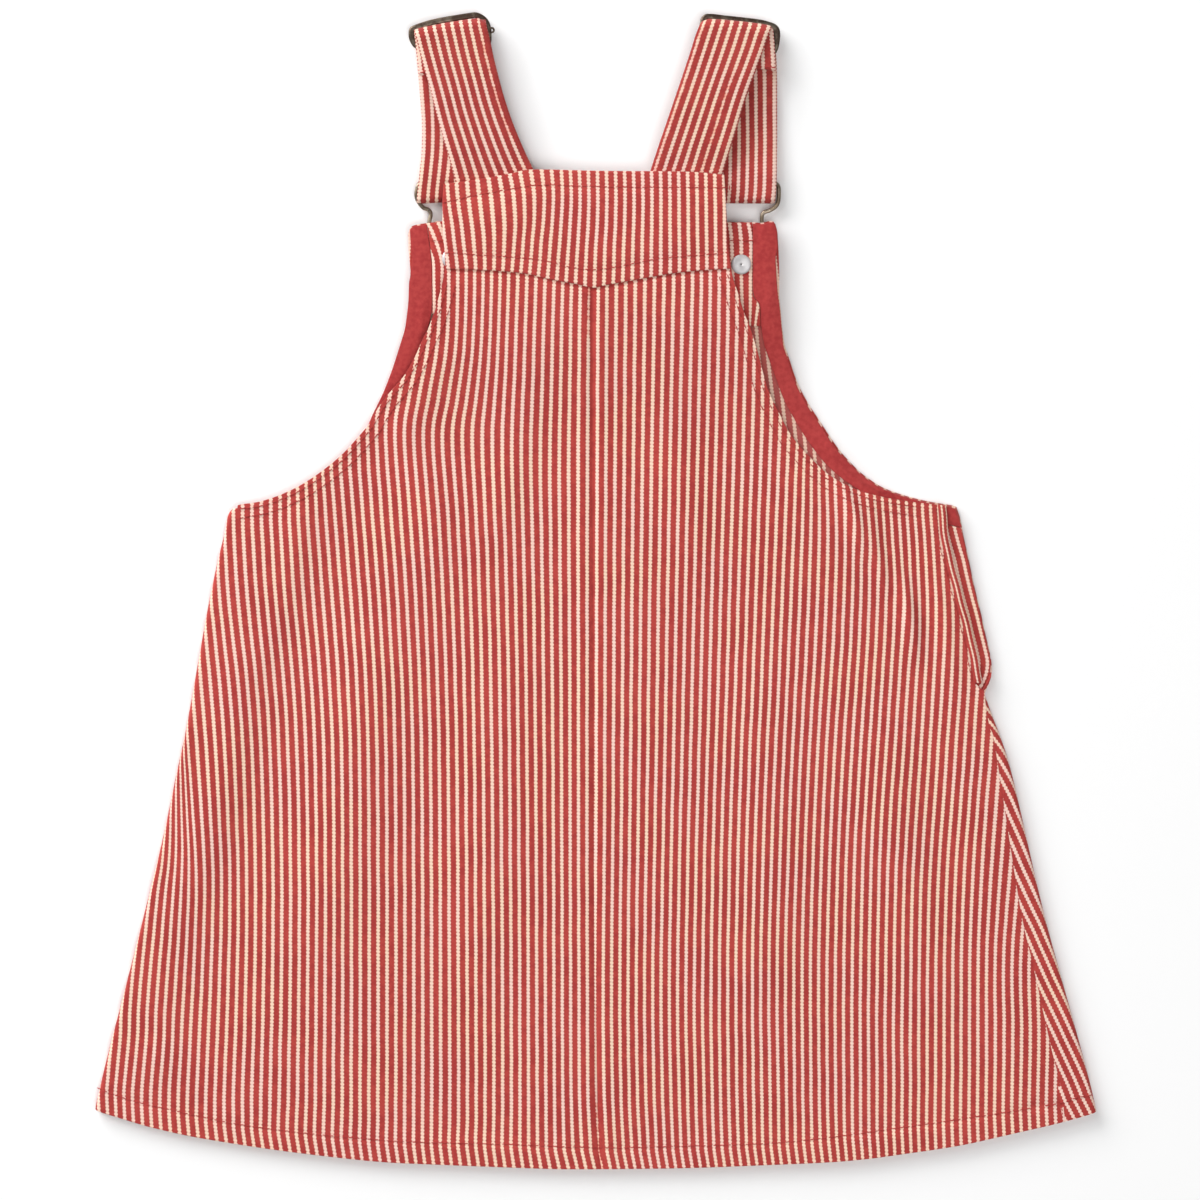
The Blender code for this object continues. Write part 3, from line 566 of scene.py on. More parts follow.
# the straps' depth darkens their cloth: partly a deeper dye, partly painted shade over the straps
strapStriped = {"Left": stripedTwill("leftStrapTwill", seams=((7.0, 24.0, 400.0, 0.7),),
                                     depth=0.84),
                "Right": stripedTwill("rightStrapTwill", seams=((7.0, -9.0, 400.0, 0.45),
                                                                (2.0, 10.0, 52.0, 0.75)),
                                      depth=0.88)}
wrongSide = stripedTwill("stripedTwillWrongSide", wrongSide=True)
redTwill = plainTwill("redTwill", (0.39, 0.034, 0.035), (0.49, 0.056, 0.053))
thread = plainTwill("redThread", (0.42, 0.046, 0.043), (0.51, 0.066, 0.060), 0.0)
brass = wornMetal("antiqueBrass", (0.072, 0.046, 0.034), (0.20, 0.160, 0.120), 0.30, 0.5)
brassWire = wornMetal("brassWire", (0.19, 0.14, 0.095), (0.36, 0.30, 0.23), 0.25, 0.42)
print("materials made")


# cloth pieces


def addObject(name, data):
    made = bpy.data.objects.new(name, data)
    bpy.context.scene.collection.objects.link(made)
    return made


def settle(piece, node):  # it rides on the root and takes the solid's place
    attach(piece, "root")
    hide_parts(node)


def makeMesh(name, vertices, faces, uv=None, materials=()):
    mesh = bpy.data.meshes.new(name)
    mesh.from_pydata([tuple(v * mm) for v in np.array(vertices, dtype=float)], [], faces)
    mesh.update()
    if uv is not None:
        layer = mesh.uv_layers.new(name="cloth")
        index = np.empty(len(mesh.loops), dtype=np.int32)
        mesh.loops.foreach_get("vertex_index", index)
        layer.data.foreach_set("uv", np.asarray(uv, dtype=np.float32)[index].ravel())
    for material in materials:
        mesh.materials.append(material)
    mesh.shade_smooth()
    return addObject(name, mesh)


def sheetOfCloth(name, node, rows, stripes, thickness, flip=False, materials=None, hem=None,
                 trim=None):
    # rows of points on the outer face, and (stripe number, length along the grain) at each;
    # trim is a turned edge that shows the right side: how many rows, how wide, last column
    starts = np.cumsum([0] + [len(row) for row in rows])
    faces, turnedIn = [], []
    for n, (upper, lower) in enumerate(zip(rows, rows[1:])):
        a, b = starts[n], starts[n + 1]
        for k in range(min(len(upper), len(lower)) - 1):
            corners = (a + k, b + k, b + k + 1, a + k + 1)
            faces.append(corners[::-1] if flip else corners)
            if trim and n < trim[0] and not (trim[1] <= k < trim[2] - trim[1] and n > 0):
                turnedIn.append(len(faces) - 1)
    piece = makeMesh(name, np.vstack(rows), faces, np.vstack(stripes),
                     materials or (striped, wrongSide))
    for index in turnedIn:
        piece.data.polygons[index].material_index = 2
    wall = piece.modifiers.new("wall", "SOLIDIFY")
    wall.offset, wall.use_even_offset = -1.0, True
    wall.thickness = thickness * mm
    if len(piece.data.materials) > 1:
        wall.material_offset = 1
    if hem is not None:
        group = piece.vertex_groups.new(name="hem")
        for n, weight in enumerate(np.concatenate(hem)):
            group.add([n], float(weight), "REPLACE")
        wall.vertex_group = "hem"
    turned = piece.modifiers.new("turned edges", "BEVEL")
    turned.width, turned.segments = 0.32 * mm, 2
    turned.limit_method, turned.angle_limit = "ANGLE", math.radians(60)
    turned.use_clamp_overlap = True
    settle(piece, node)


def stripeNumber(x, y, guides, pitch):
    # the stripe at each point, from drawn stripes that run down the cloth, left to right
    numbers = [number for number, _ in guides]
    places = [xOn(points, y) for _, points in guides]
    result = numbers[0] + (x - places[0]) / pitch
    for n in range(len(guides) - 1):
        share = (x - places[n]) / (places[n + 1] - places[n])
        result = np.where(x >= places[n], mix(numbers[n], numbers[n + 1], share), result)
    return np.where(x >= places[-1], numbers[-1] + (x - places[-1]) / pitch, result)


def seenStripes(table, x, y, z):
    return np.stack([stripeNumber(*seen(x, y, z), table["guides"], table["pitch"]), y], axis=-1)


skirt = {
    "creasePull": 0.36,  # how far the stripes bend over a crease, for its height
    "pitch": 3.8, "sideSlant": math.radians(13.0),
    "left": drawn({
        -52: [(165, 700), (158, 840), (149, 900), (139.1, 1000), (137.3, 1040), (133, 1085),
            (132.6, 1098)],
        -46: [(176, 600), (184, 700), (191.5, 800), (196.2, 880), (194, 960), (190.1, 1040),
            (187.5, 1090), (187, 1113)],
        -40: [(224, 530), (228.6, 600), (237.7, 680), (243.4, 760), (246.7, 880), (245.4, 1000),
            (242.8, 1085), (242.4, 1120)],
        -34: [(280, 520), (285.1, 600), (292.8, 680), (297.2, 760), (299.4, 900), (297.6, 1085),
            (296.8, 1112), (296.3, 1126)],
        -28: [(331, 470), (338.4, 560), (347.5, 680), (351, 800), (351.1, 1085), (350.2, 1135)],
        -22: [(403, 290), (401.6, 330), (397, 360), (389, 400), (385.6, 436), (391.3, 520), (397.5, 600),
            (403.2, 720), (404.8, 880), (404.8, 1085), (404.4, 1140)],
        -16: [(457.8, 290), (456.8, 330), (454.2, 360), (447.9, 400), (442.2, 438), (448.2, 520),
            (453.9, 640), (457.3, 800), (458.6, 1085), (457.8, 1142)],
        -10: [(508.5, 285), (506, 360), (502.2, 450), (505.8, 560), (509.1, 720), (511, 960),
            (511.4, 1085), (511, 1144)],
        -5: [(554.3, 280), (552, 360), (549.9, 460), (551.4, 600), (553.2, 800), (554.3, 1085),
            (555.2, 1144)],
        -1: [(588.8, 290), (587.3, 500), (587, 700), (587, 900), (587.8, 1085), (588.4, 1112),
            (590.6, 1146)],
    }),
    "right": drawn({
        1: [(606.8, 290), (605.6, 520), (604.6, 800), (603.2, 980), (603.9, 1085), (605, 1115),
            (607, 1146)],
        10: [(692.5, 290), (689.8, 400), (686.1, 560), (682.8, 720), (679.1, 880), (677.5, 1000),
            (679, 1085), (681, 1146)],
        16: [(746, 330), (743.3, 440), (739.5, 560), (735.7, 680), (731.2, 800), (727.8, 960),
            (728.5, 1085), (730.2, 1144)],
        22: [(798.5, 420), (795.8, 480), (792.5, 560), (787.4, 680), (781.8, 800), (777.2, 960),
            (778.2, 1085), (779, 1143)],
        28: [(841, 460), (845.2, 540), (842.2, 640), (836.7, 720), (830.4, 840), (827.1, 960),
            (827.3, 1085), (828.4, 1138)],
        34: [(890, 500), (893.4, 560), (894.1, 620), (888.2, 720), (880.4, 840), (876.8, 1000),
            (877.2, 1085), (877, 1131)],
        40: [(938.5, 510), (941.9, 560), (944, 640), (937.6, 760), (929.6, 880), (927.3, 1000),
            (927.1, 1085), (926.5, 1125)],
        46: [(995, 690), (990.2, 760), (983.7, 840), (978.6, 940), (978, 1040), (977.7, 1085),
            (977.4, 1117)],
        52: [(1046, 800), (1037, 880), (1029.1, 960), (1030.3, 1030), (1029.4, 1085), (1029.1, 1108)],
    }),
    "hemLean": [(-203, 0.045), (-183, 0.09), (-167, 0.133), (-151, 0.16), (-104, 0.165),
                (-72, 0.14), (-40, 0.14), (-25, 0.17), (-10, 0.245), (5, 0.21), (24, 0.19),
                (52, 0.15), (102, 0.12), (117, 0.09), (131, 0.055), (150, 0.035), (180, 0.045)],
}


def skirtStripes(x, y, z, side):
    # below the hem's stitches the turned cloth leans to the right
    x, y = seen(x, y, z)
    x = x - skirt["creasePull"] * ridges(x, y, creases[:4])  # the sharp ones by the armhole
    below = yOn(edge["hemStitch"], x) - y
    lean = np.interp(x, *zip(*skirt["hemLean"]))
    push = lean * np.where(below < 2.6, np.clip(below, 0.0, 2.6) ** 2 / 5.2, below - 1.3)
    return np.stack([stripeNumber(x - push, y, skirt[side], skirt["pitch"]), y], axis=-1)


def hemWeights(grid):
    x, y = planes(grid)
    nearFold = smoothStep(*relief["nearSide"], sideDistance(x, y))
    share = hemShare(x, y) * (1.0 - nearFold)
    return mix(build["cloth"], build["hemCloth"], share) / build["hemCloth"]


def crowdedAtEnd(count, amount=0.7):  # shares that crowd towards 1
    t = even(count)
    return t + amount * t * (1 - t) * t


def foldedUnder(y):
    top, low = edge["leftSide"][0][1], edge["leftSide"][-1][1]
    return mix(*build["foldedUnder"], (top - y) / (top - low))


def roundFold(start, inward, turn, flat, slant):
    # points round a fold that begins at start, and where each is on the cloth laid out flat
    points, unrolled = [], []
    radius = build["fold"]
    for step in range(1, build["foldSteps"] + 1):
        angle = math.radians(turn * step / build["foldSteps"])
        out, rise = radius * math.sin(angle), radius * (1.0 - math.cos(angle))
        points.append((start[0] - inward * out, start[1],
                       rise if inward < 0.0 else 2 * radius - rise))
        unrolled.append(radius * angle - out)
    for share in even(build["flatSteps"])[1:] if flat > 0.0 else ():
        points.append((start[0] + inward * flat * share, start[1],
                       2 * radius if inward < 0.0 else 0.0))
        unrolled.append(radius * math.pi + 2 * flat * share * math.cos(slant))
    points, unrolled = np.array(points), np.array(unrolled)
    drop = (hemY(points[:, 0]) - hemY(start[0])) * smoothStep(*build["foldToHem"], start[1])
    flatX = points[:, 0] - inward * (unrolled * math.cos(slant) - drop * math.sin(2 * slant))
    flatY = start[1] + unrolled * math.sin(slant) + drop * math.cos(2 * slant)
    points[:, 1] += drop
    return points, flatX, flatY


def lengthen(cloth, n, points, stripes):  # row n of the points, the stripes and the hem weights
    added = points, stripes, np.full(len(points), cloth[2][n][-1])
    for part, extra in zip(cloth, added):
        part[n] = np.concatenate([part[n], extra])


def underYoke(x):  # the back panels' upper edge
    return yOn(edge["yokeSeam"], x) + build["seamLap"]


def backPanel(side, name, lap, lower=0.0):  # rows of points, their stripes and hem weights
    side = meetHem(np.vstack(side))
    y = mix(edge["centreBack"][0][1], hemY(edge["centreBack"][-1][0]), downShare(side))
    middle = np.column_stack([xOn(edge["centreBack"], y) + lap, y])
    grid = fillBetween(middle, side, underYoke, hemY, closeAtEnds(build["backColumns"]))
    grid[0, :, 1] = underYoke(grid[0, :, 0])
    x, y = planes(grid)
    z = backTop(x, y) - lower
    return [list(np.dstack([grid, z])), list(skirtStripes(x, y, z, name)), list(hemWeights(grid))]


def buildBackRight():
    rows, stripes, hem = backPanel(
        [along(edge["backArmholeRight"], even(build["armRows"]) ** 1.3)[:-1],
         along(shifted(edge["openingBack"], -build["bindingWidth"]), even(34)),
         along(shifted(edge["rightSeam"], build["seamLap"]), crowdedAtEnd(88))],
        "right", -build["seamLap"])
    sheetOfCloth("backRightCloth", "back_right", rows, stripes, build["hemCloth"],
                 materials=(centreStriped, wrongSide), hem=hem)


def buildBackLeft():
    cloth = backPanel([along(edge["backArmholeLeft"], even(build["armRows"]) ** 1.3)[:-1],
                       along(shifted(edge["leftSide"], build["fold"]), crowdedAtEnd(122))],
                      "left", build["seamLap"], 0.02)
    rows, stripes, hem = cloth
    for n in range(build["armRows"], len(rows)):
        start = rows[n][-1]
        start[2] = 2 * build["fold"]
        flat = foldedUnder(start[1]) - build["fold"]
        points, x, y = roundFold(start, 1.0, 180.0, flat, skirt["sideSlant"])
        lengthen(cloth, n, points, skirtStripes(x, y, 2 * build["fold"], "left"))
    sheetOfCloth("backLeftCloth", "back_left", rows, stripes, build["hemCloth"], flip=True,
                 materials=(centreStriped, wrongSide), hem=hem)


front = {
    "pitch": 3.78, "sideSlant": math.radians(14.9),
    "curl": (18.7, 0.7),  # above the side's top: where its edge starts to turn in, and has turned
    "guides": [
        (-21, [(-81.0, 162.0), (-81.6, 150.7), (-83.4, 116.8), (-86.0, 60.0), (-84.0, -20.0),
               (-80.5, -60.0), (-80.5, -255.0)]),
        (21, [(77.5, 162.0), (79.2, 147.6), (81.3, 130.9), (83.8, 107.8), (90.0, 36.0),
              (80.0, -44.0), (78.2, -80.0), (78.2, -255.0)]),
    ],
    # how far the stripes spread towards the right side, at each distance below the middle
    "spread": [(45.0, 0.0), (90.0, -0.33), (145.0, 1.25), (172.0, 4.1), (250.0, 10.5)],
    "hemLean": 0.14,
}


def frontStripes(x, y):
    spread = np.interp(-y, *zip(*front["spread"])) * smoothStep(110.0, 160.0, x)
    return np.stack([stripeNumber(x - spread, y, front["guides"], front["pitch"]), y], axis=-1)


def buildFront():
    gap, fold = build["gap"], build["fold"]
    bibRows, columns = build["bibRows"], build["frontColumns"]
    y = np.linspace(edge["bibLeft"][-1][1] - 0.2, edge["leftSide"][-1][1], 111)
    x = xOn(edge["leftSide"], y) + foldedUnder(y) + gap
    left = np.vstack([along(edge["bibLeft"], even(bibRows))[:-1], np.column_stack([x, y])])
    right = np.vstack([along(edge["bibRight"], even(bibRows))[:-1],
                       along(edge["openingFront"], even(32))[:-1],
                       along(shifted(edge["rightSide"], -fold), crowdedAtEnd(78))])
    sideTop = edge["rightSide"][0][1]
    curlTop, curlEnd = (sideTop + up for up in front["curl"])
    curl = 180.0 * smoothStep(curlTop, curlEnd, right[:, 1])
    onOpening = right[:, 1] > sideTop
    right[:, 0] -= np.where(onOpening, fold * np.sin(np.radians(np.minimum(curl, 90.0))), 0.0)
    grid = reachTop(fillBetween(meetHem(left), meetHem(right), lambda x: 0.0 * x, hemY,
                                closeAtEnds(columns)), 0.0)
    x, y = planes(grid)
    rows, stripes, hem = cloth = (
        list(np.dstack([grid, bibLift(y)])),
        list(frontStripes(*seen(x, y, bibLift(y) + build["cloth"]))), list(hemWeights(grid)))
    for n, turn in enumerate(curl):
        if right[n, 1] > curlTop or turn < 3.0:
            continue
        start, flat = rows[n][-1], 0.0
        if turn > 175.0:
            flat = max(start[0] - xOn(edge["rightSeam"], start[1]) + build["seamLap"], 0.0)
        points, x, y = roundFold(start, -1.0, turn, flat, front["sideSlant"])
        points[:, 2] -= 0.02 * (flat > 0.0)
        below = np.maximum(yOn(edge["hemStitch"], points[:, 0]) - points[:, 1], 0.0)
        lengthen(cloth, n, points, frontStripes(x + front["hemLean"] * below, y))
    sheetOfCloth("frontCloth", "front_panel", rows, stripes, build["hemCloth"], flip=True,
                 materials=(striped, wrongSide, striped, striped), hem=hem,
                 trim=(bibRows - 16, 2, columns))


yoke = {
    "pitch": 4.03,
    "guides": drawn({
        1: [(456.2, 180), (458, 203), (460.9, 222), (463, 240), (465.5, 259), (467, 275)],
        3: [(476.9, 175), (478.4, 189), (480.2, 203), (482.1, 222), (483.9, 240), (484.6, 259),
            (484.8, 275)],
        6: [(508.8, 170), (513.5, 194), (515.4, 222), (514.5, 240), (513, 259), (511.6, 275)],
        9: [(541.6, 168), (544.4, 194), (543.3, 222), (541.3, 240), (540, 259), (538.3, 275)],
        11: [(561.4, 168), (562.5, 194), (561, 222), (559.8, 240), (558.2, 259), (556.6, 280)],
        15: [(597.4, 168), (597.9, 194), (597.2, 222), (595.6, 250), (594.3, 285)],
        24: [(678.4, 168), (679, 200), (679.2, 230), (679.4, 262), (679.2, 280)],
        29: [(723.6, 168), (724.2, 200), (724.4, 230), (725.2, 262), (725.6, 280)],
    }),
    "upperStitch": fromPhoto(
        (444.5, 202.3), (446, 202), (478.3, 194.6), (491.7, 192.5), (500.8, 190.4), (511.7, 188.8),
        (524.2, 186.7), (534.2, 185.4), (553.3, 184.8), (568, 185.6), (628, 187), (723, 187.6),
        (725, 187.6), height=9.8),
    "lowerStitch": fromPhoto(
        (447, 253), (454, 253), (509, 257), (541, 260), (568, 266.6), (594, 269.6), (618, 266.6),
        (659, 258.7), (725.8, 253), (728, 253), height=9.8),
}


def yokeTop(x, y):
    top = build["yokeUnderside"] + build["yokeCloth"]
    band = y - yOn(edge["yokeSeam"], x)
    upper, lower = (y - yOn(yoke[line], x) for line in ("upperStitch", "lowerStitch"))
    puff = 0.5 * smoothStep(0.0, 14.0, band) * smoothStep(0.0, 12.0, yOn(edge["yokeTop"], x) - y)
    bulge = 0.9 * np.exp(-((x + 38.0) / 13.0) ** 2 - ((y - 165.0) / 11.0) ** 2)
    groove = 0.3 * (swell(upper, 1.0, 1.1) + swell(lower, 1.0, 1.1))
    pucker = swell(lower, 0.08 * np.sin(x * 0.9 + np.sin(x * 0.17) * 2), 4.0)
    return top + puff + bulge - groove + pucker + 0.12 * ripple(x * 2, y * 2, 1.0)


def buildYoke():
    left, right = (along(edge[name], even(build["yokeRows"])) for name in ("yokeLeft", "yokeRight"))
    grid = fillBetween(left, right, lambda x: yOn(edge["yokeTop"], x),
                       lambda x: yOn(edge["yokeSeam"], x) + build["gap"],
                       closeAtEnds(build["yokeColumns"], 0.3))
    grid[-1, :, 1] = yOn(edge["yokeSeam"], grid[-1, :, 0]) + build["gap"] * 0.4
    x, y = planes(grid)
    z = yokeTop(x, y)
    sheetOfCloth("yokeCloth", "back_yoke", np.dstack([grid, z]), seenStripes(yoke, x, y, z),
                 build["yokeCloth"])


facing = {
    "leftOuter": fromPhoto(
        (409.8, 232), (410.6, 243), (411.6, 252), (412.1, 260), (411.4, 268), (410.4, 276), (409, 283),
        (408.5, 300), (407, 313), (404.6, 329), (400.6, 342.5), (391.6, 370), (383.8, 390), (378.2, 402),
        (372.7, 413), (368, 423.5), height=6.0)
    + fromPhoto(
        (359.5, 438.5), (343.5, 457.5), (324.5, 473.5), (299, 489.8), (269.5, 502.8), (243, 511),
        (236, 515)),
    "leftInner": fromPhoto(
        (427, 232), (427.6, 237), (428.6, 243.6), (430.7, 254.3), (431.8, 265), (432, 279), (432, 304),
        (431.4, 313.6), (427.5, 329.3), (422.1, 343.6), (414, 372), (400, 396), (380, 424), height=6.0)
    + fromPhoto((364, 445), (345, 465), (318, 486), (290, 503), (262, 517), (238, 529)),
    "rightOuter": fromPhoto(
        (776.7, 231.5), (777.5, 244), (777.4, 250), (775.8, 257), (776.2, 270), (777.2, 285),
        (778.3, 297), (779.7, 306), (780.6, 315), (781.3, 325), (782.6, 334), (783.6, 345.4),
        (788.6, 360), (792.8, 374.3), (799.4, 390), (808.4, 406.3), (819.4, 422.8), (829.4, 438.3),
        (839.6, 452.4), height=6.0)
    + fromPhoto(
        (851.2, 464.7), (861.8, 474.9), (877.4, 485.8), (887.6, 490.8), (898.1, 494.7), (908.4, 497.9),
        (923.8, 501.8), (934, 503.9), (944.5, 505.8), (955.4, 508.4)),
    "rightInner": fromPhoto(
        (752.8, 231.5), (753, 250), (752.8, 285), (754.2, 297), (758.6, 302.5), (760.8, 310),
        (761.3, 326.4), (764, 343), (767, 353), (782, 394), (792, 414), (810, 443), height=6.0)
    + fromPhoto((831, 469), (862, 492), (900, 511), (935, 521), (962.5, 527.6)),
    "inset": 0.7,  # of its top, below the bib's edge
    "creases": [(fromPhoto((757, 221), (757.4, 243)), 0.9, -0.5),
                (fromPhoto((782.5, 380), (790, 390)), 0.9, -0.5),
                (fromPhoto((794, 389), (802, 405)), 0.9, -0.4),
                (fromPhoto((805, 414), (814, 427)), 0.9, -0.4),
                (fromPhoto((424, 300), (420, 338)), 1.6, 0.5),
                (fromPhoto((768, 262), (771, 320)), 2.4, 0.4)],
}


def buildFacings():
    shares = closeAtEnds(build["facingColumns"])
    for side in ("left", "right"):
        outer, inner = (along(facing[side + end], even(build["facingRows"]))
                        for end in ("Outer", "Inner"))
        grid = reachTop(fillAcross(outer, inner, shares), facing["inset"])
        x, y = planes(grid)
        roll = np.broadcast_to(shares[None, :], x.shape)
        z = facingTop(y) + 0.25 * np.sin(np.pi * roll) + 0.12 * ripple(x * 2, y * 2, 2.0)
        z = z + ridges(x, y, [(*ends, width, height, 0.0)
                              for ends, width, height in facing["creases"]])
        if side == "right":  # near the underarm its outer half stands up
            raised = smoothStep(70.0, 62.0, y) * smoothStep(40.0, 44.0, y)
            z = z + 1.1 * raised * (1.0 - smoothStep(0.34, 0.46, roll))
        length = np.broadcast_to(np.linspace(0, 190, len(outer))[:, None], x.shape)
        sheetOfCloth(f"{side}ArmholeFacing", f"armhole_facing_{side}", np.dstack([grid, z]),
                     np.stack([roll * 10.0, length], axis=-1), build["cloth"],
                     flip=side == "right", materials=(redTwill,))


bibStripes = {
    "pitch": 3.95, "stitchY": 153.8, "stitchEnds": (-71.0, 69.0),
    "guides": drawn({
        -19: [(420, 224), (424, 240), (430, 252), (432.9, 260), (433.6, 279), (434.3, 301), (434.3, 330)],
        -18: [(426.5, 221), (427.7, 224), (431.4, 229.5), (435, 238.6), (437.7, 245), (440.5, 256),
            (442.2, 267), (441.8, 283), (441.5, 330)],
        -17: [(438, 221), (440.5, 227.7), (443.2, 235), (446, 245), (450, 270), (451, 330)],
        14: [(729, 221), (731.5, 240), (733, 275), (734, 330)],
        15: [(738.9, 221), (741.2, 246), (741.3, 275), (743, 330)],
        16: [(747.6, 221), (750.8, 240), (750.6, 275), (750.5, 330)],
        17: [(756.7, 221), (759.6, 240), (759.6, 285), (757.9, 304), (756.7, 312.5), (754.4, 325)],
    }),
}


def buildBibFacing():
    # it lies between the armhole facings, down to a turned lower edge
    sides = []
    for side, lowest, inward in (("left", 313.6, 0.5), ("right", 326.6, -0.5)):
        line = smoothLine(facing[side + "Inner"])
        line = line[line[:, 1] >= fromPhoto((0, lowest), height=6.0)[0][1]]
        sides.append(shifted(along(line[::4], even(34)), build["gap"] * inward))
    grid = reachTop(fillAcross(*sides, closeAtEnds(60, 0.3)), facing["inset"] * 0.4)
    x, y = planes(grid)
    z = facingTop(y) - swell(y - bibStripes["stitchY"], 0.15, 1.0)
    sheetOfCloth("bibFacingCloth", "bib_facing", np.dstack([grid, z]),
                 seenStripes(bibStripes, x, y, z), build["cloth"])


placket = {
    "width": 14.0, "top": 26.9, "low": -44.2, "pitch": 3.8,
    "tape": 0.55, "puff": 0.22, "wave": (0.12, 31.0),  # the binding tape's thickness and its relief
    "creamAt": 0.42, "creamPitch": 0.56,  # its stripes, as shares of its width
    # how far its outer stripe is from its edge, at each place from the bottom up
    "stripeInset": [(-30.0, 1.5), (-5.0, 1.9), (13.0, 2.2), (28.0, 3.2), (34.0, 3.7)],
}


def buildBinding():
    # a narrow tape folded lengthwise over the cut edge: its top, its fold and its underside
    outer = along(edge["openingBack"], even(46))
    wave, waves = placket["wave"]
    outer[:, 0] += wave * np.sin(even(46) * waves)
    wide = build["bindingWidth"] + 0.2
    low = build["cloth"] + build["edgeGap"] - 0.15
    high = low + build["bindingCloth"] + build["gap"]
    turn = (high - low) / 2
    rows, stripes = [], []
    for x, y in outer:
        section = [(x - wide + (wide - turn) * share,
                    high + placket["puff"] * math.sin(math.pi * share)) for share in even(7)]
        section += [(x - turn + turn * math.sin(angle), (high + low) / 2 + turn * math.cos(angle))
                    for angle in np.linspace(0.0, math.pi, 9)[1:]]
        section += [(x - wide + (wide - turn) * share, low)
                    for share in np.linspace(1.0, 0.0, 6)[1:]]
        line = np.array([(a, y, b) for a, b in section])
        reach = np.concatenate([[0.0], np.cumsum(np.hypot(*np.diff(line[:, [0, 2]], axis=0).T))])
        rows.append(line)
        number = (reach / wide - placket["creamAt"]) / placket["creamPitch"]
        stripes.append(np.column_stack([number, np.full(len(line), y)]))
    sheetOfCloth("backOpeningBinding", "placket_back", rows, stripes, placket["tape"],
                 materials=(striped,))


def buildOpeningFacing():
    y = np.linspace(placket["top"], placket["low"], 47)
    x = xOn(edge["openingFront"], y) - 0.4 - 1.4 * smoothStep(-30.0, -44.0, y)
    gridX = x[:, None] - placket["width"] * (1 - closeAtEnds(16)[None, :])
    rise = yOn(facing["rightInner"][-5:], gridX[0]) - 0.2 - y[0]
    gridY = y[:, None] + rise[None, :] * (1.0 - smoothStep(0.0, 8.0, y[0] - y))[:, None]
    inset = np.interp(gridY, *zip(*placket["stripeInset"]))
    stripes = np.stack([(gridX - x[:, None] + inset) / placket["pitch"], gridY], axis=-1)
    gridZ = facingTop(gridY) + 0.1 * ripple(gridX * 3, gridY * 3, 0.5)
    sheetOfCloth("frontOpeningFacing", "placket_front", np.dstack([gridX, gridY, gridZ]), stripes,
                 build["cloth"], materials=(striped,))


buildBackLeft()
buildBackRight()
buildFront()
buildYoke()
buildFacings()
buildBibFacing()
buildBinding()
buildOpeningFacing()
print("body cloth made")


# straps

strap = {
    "topZ": 4.25, "turn": 3.55, "tailTurn": 1.8, "lowZ": 0.7, "loop": 1.9, "hookZ": 2.6,
    "half": 0.35, "hidden": 6.8, "upZ": 7.8, "upRows": 44, "turnRows": 16,
    "edgeRound": 0.011, "edgeInset": 0.012, "between": 0.976,  # shares of its width
    # each edge of the run from under the yoke up to the slider, as it shows
    "LeftUpOuter": fromPhoto(
        (459.5, 196), (454.5, 179), (450.3, 163), (437.5, 118), (429.3, 86), (421, 57.5), (413.5, 29),
        height=8.5),
    "LeftUpInner": fromPhoto(
        (541, 187), (533.7, 169.2), (527.6, 157), (520, 140), (511.7, 119.2), (504.6, 98), (499.1, 78),
        (494.2, 58.3), (489.9, 38), (487.2, 26), (485.5, 16.2), height=8.5),
    "RightUpOuter": fromPhoto(
        (719.5, 186), (723.7, 171), (727.5, 158.5), (736.1, 131), (744.8, 102.4), (751.3, 83),
        (756.4, 69.5), (760.8, 57.5), (765.4, 44.5), (769.6, 32), (772, 25), height=8.5),
    "RightUpInner": fromPhoto(
        (645.5, 186), (650.8, 169), (658.4, 145.8), (668.7, 115.8), (679.3, 84.5), (690, 52.5),
        (695.6, 34), (698.4, 25.5), (700.8, 17.5), height=8.5),
    # the outer edge of the layers below, from the slider down to the hook
    "LeftDown": fromPhoto(
        (413.5, 29), (414.9, 39), (416, 51), (418.4, 77.4), (420.9, 107), (421.9, 125), (422, 139),
        (421.4, 155), (420.3, 167), (419, 179), (417.6, 191), (416.8, 203.3), height=2.0),
    "RightDown": fromPhoto(
        (772, 25), (774.2, 39), (775.8, 51), (776.7, 64), (777.1, 80), (777.2, 107), (777.2, 139),
        (776.9, 163), (776.6, 179), (776, 193), (774.8, 203), height=2.0),
    # from that outer edge across to the inner one, at the slider and at the hook
    "LeftAcross": ((31.7, 5.6), (30.0, 1.6)), "RightAcross": ((-31.3, 3.3), (-30.0, 0.2)),
    "LeftTail": fromPhoto((415.2, 42), (416, 51), (417, 61), (418.2, 70), (419.6, 75.5), height=6.8),
    "RightTail": fromPhoto((774.4, 39), (775.2, 51), (775.8, 62), (775.9, 70.5), height=6.8),
    "bow": [(0.0, 0.0), (0.15, 0.3), (0.4, 0.5), (0.7, 0.35), (0.9, 0.0), (1.0, -1.6)],
    "rise": [(170.0, 4.5), (183.0, 4.4), (190.0, 3.2), (196.0, 2.6), (202.0, 2.45),
             (260.0, 2.45)],  # height of the layer that comes back up from the hook
    # stripe number at each place across, outer edge 0 and inner edge 1
    "LeftUpStripes": [(0.0, -0.19), (1.0, 7.765)], "RightUpStripes": [(0.0, -0.236), (1.0, 7.364)],
    "LeftLowStripes": [(0.0, -0.163), (1.0, 7.437)],
    "RightLowStripes": [(0.0, -0.19), (0.177, 1.0), (1.0, 7.4)],
}


def cutShort(points, end, count, start=0.0):  # even places along a line, short of its ends
    line = smoothLine(points)
    total = np.hypot(*np.diff(line, axis=0).T).sum()
    return along(points, np.linspace(start / total, 1.0 - end / total, count))


def unit(vector):
    return vector / np.hypot(*vector)


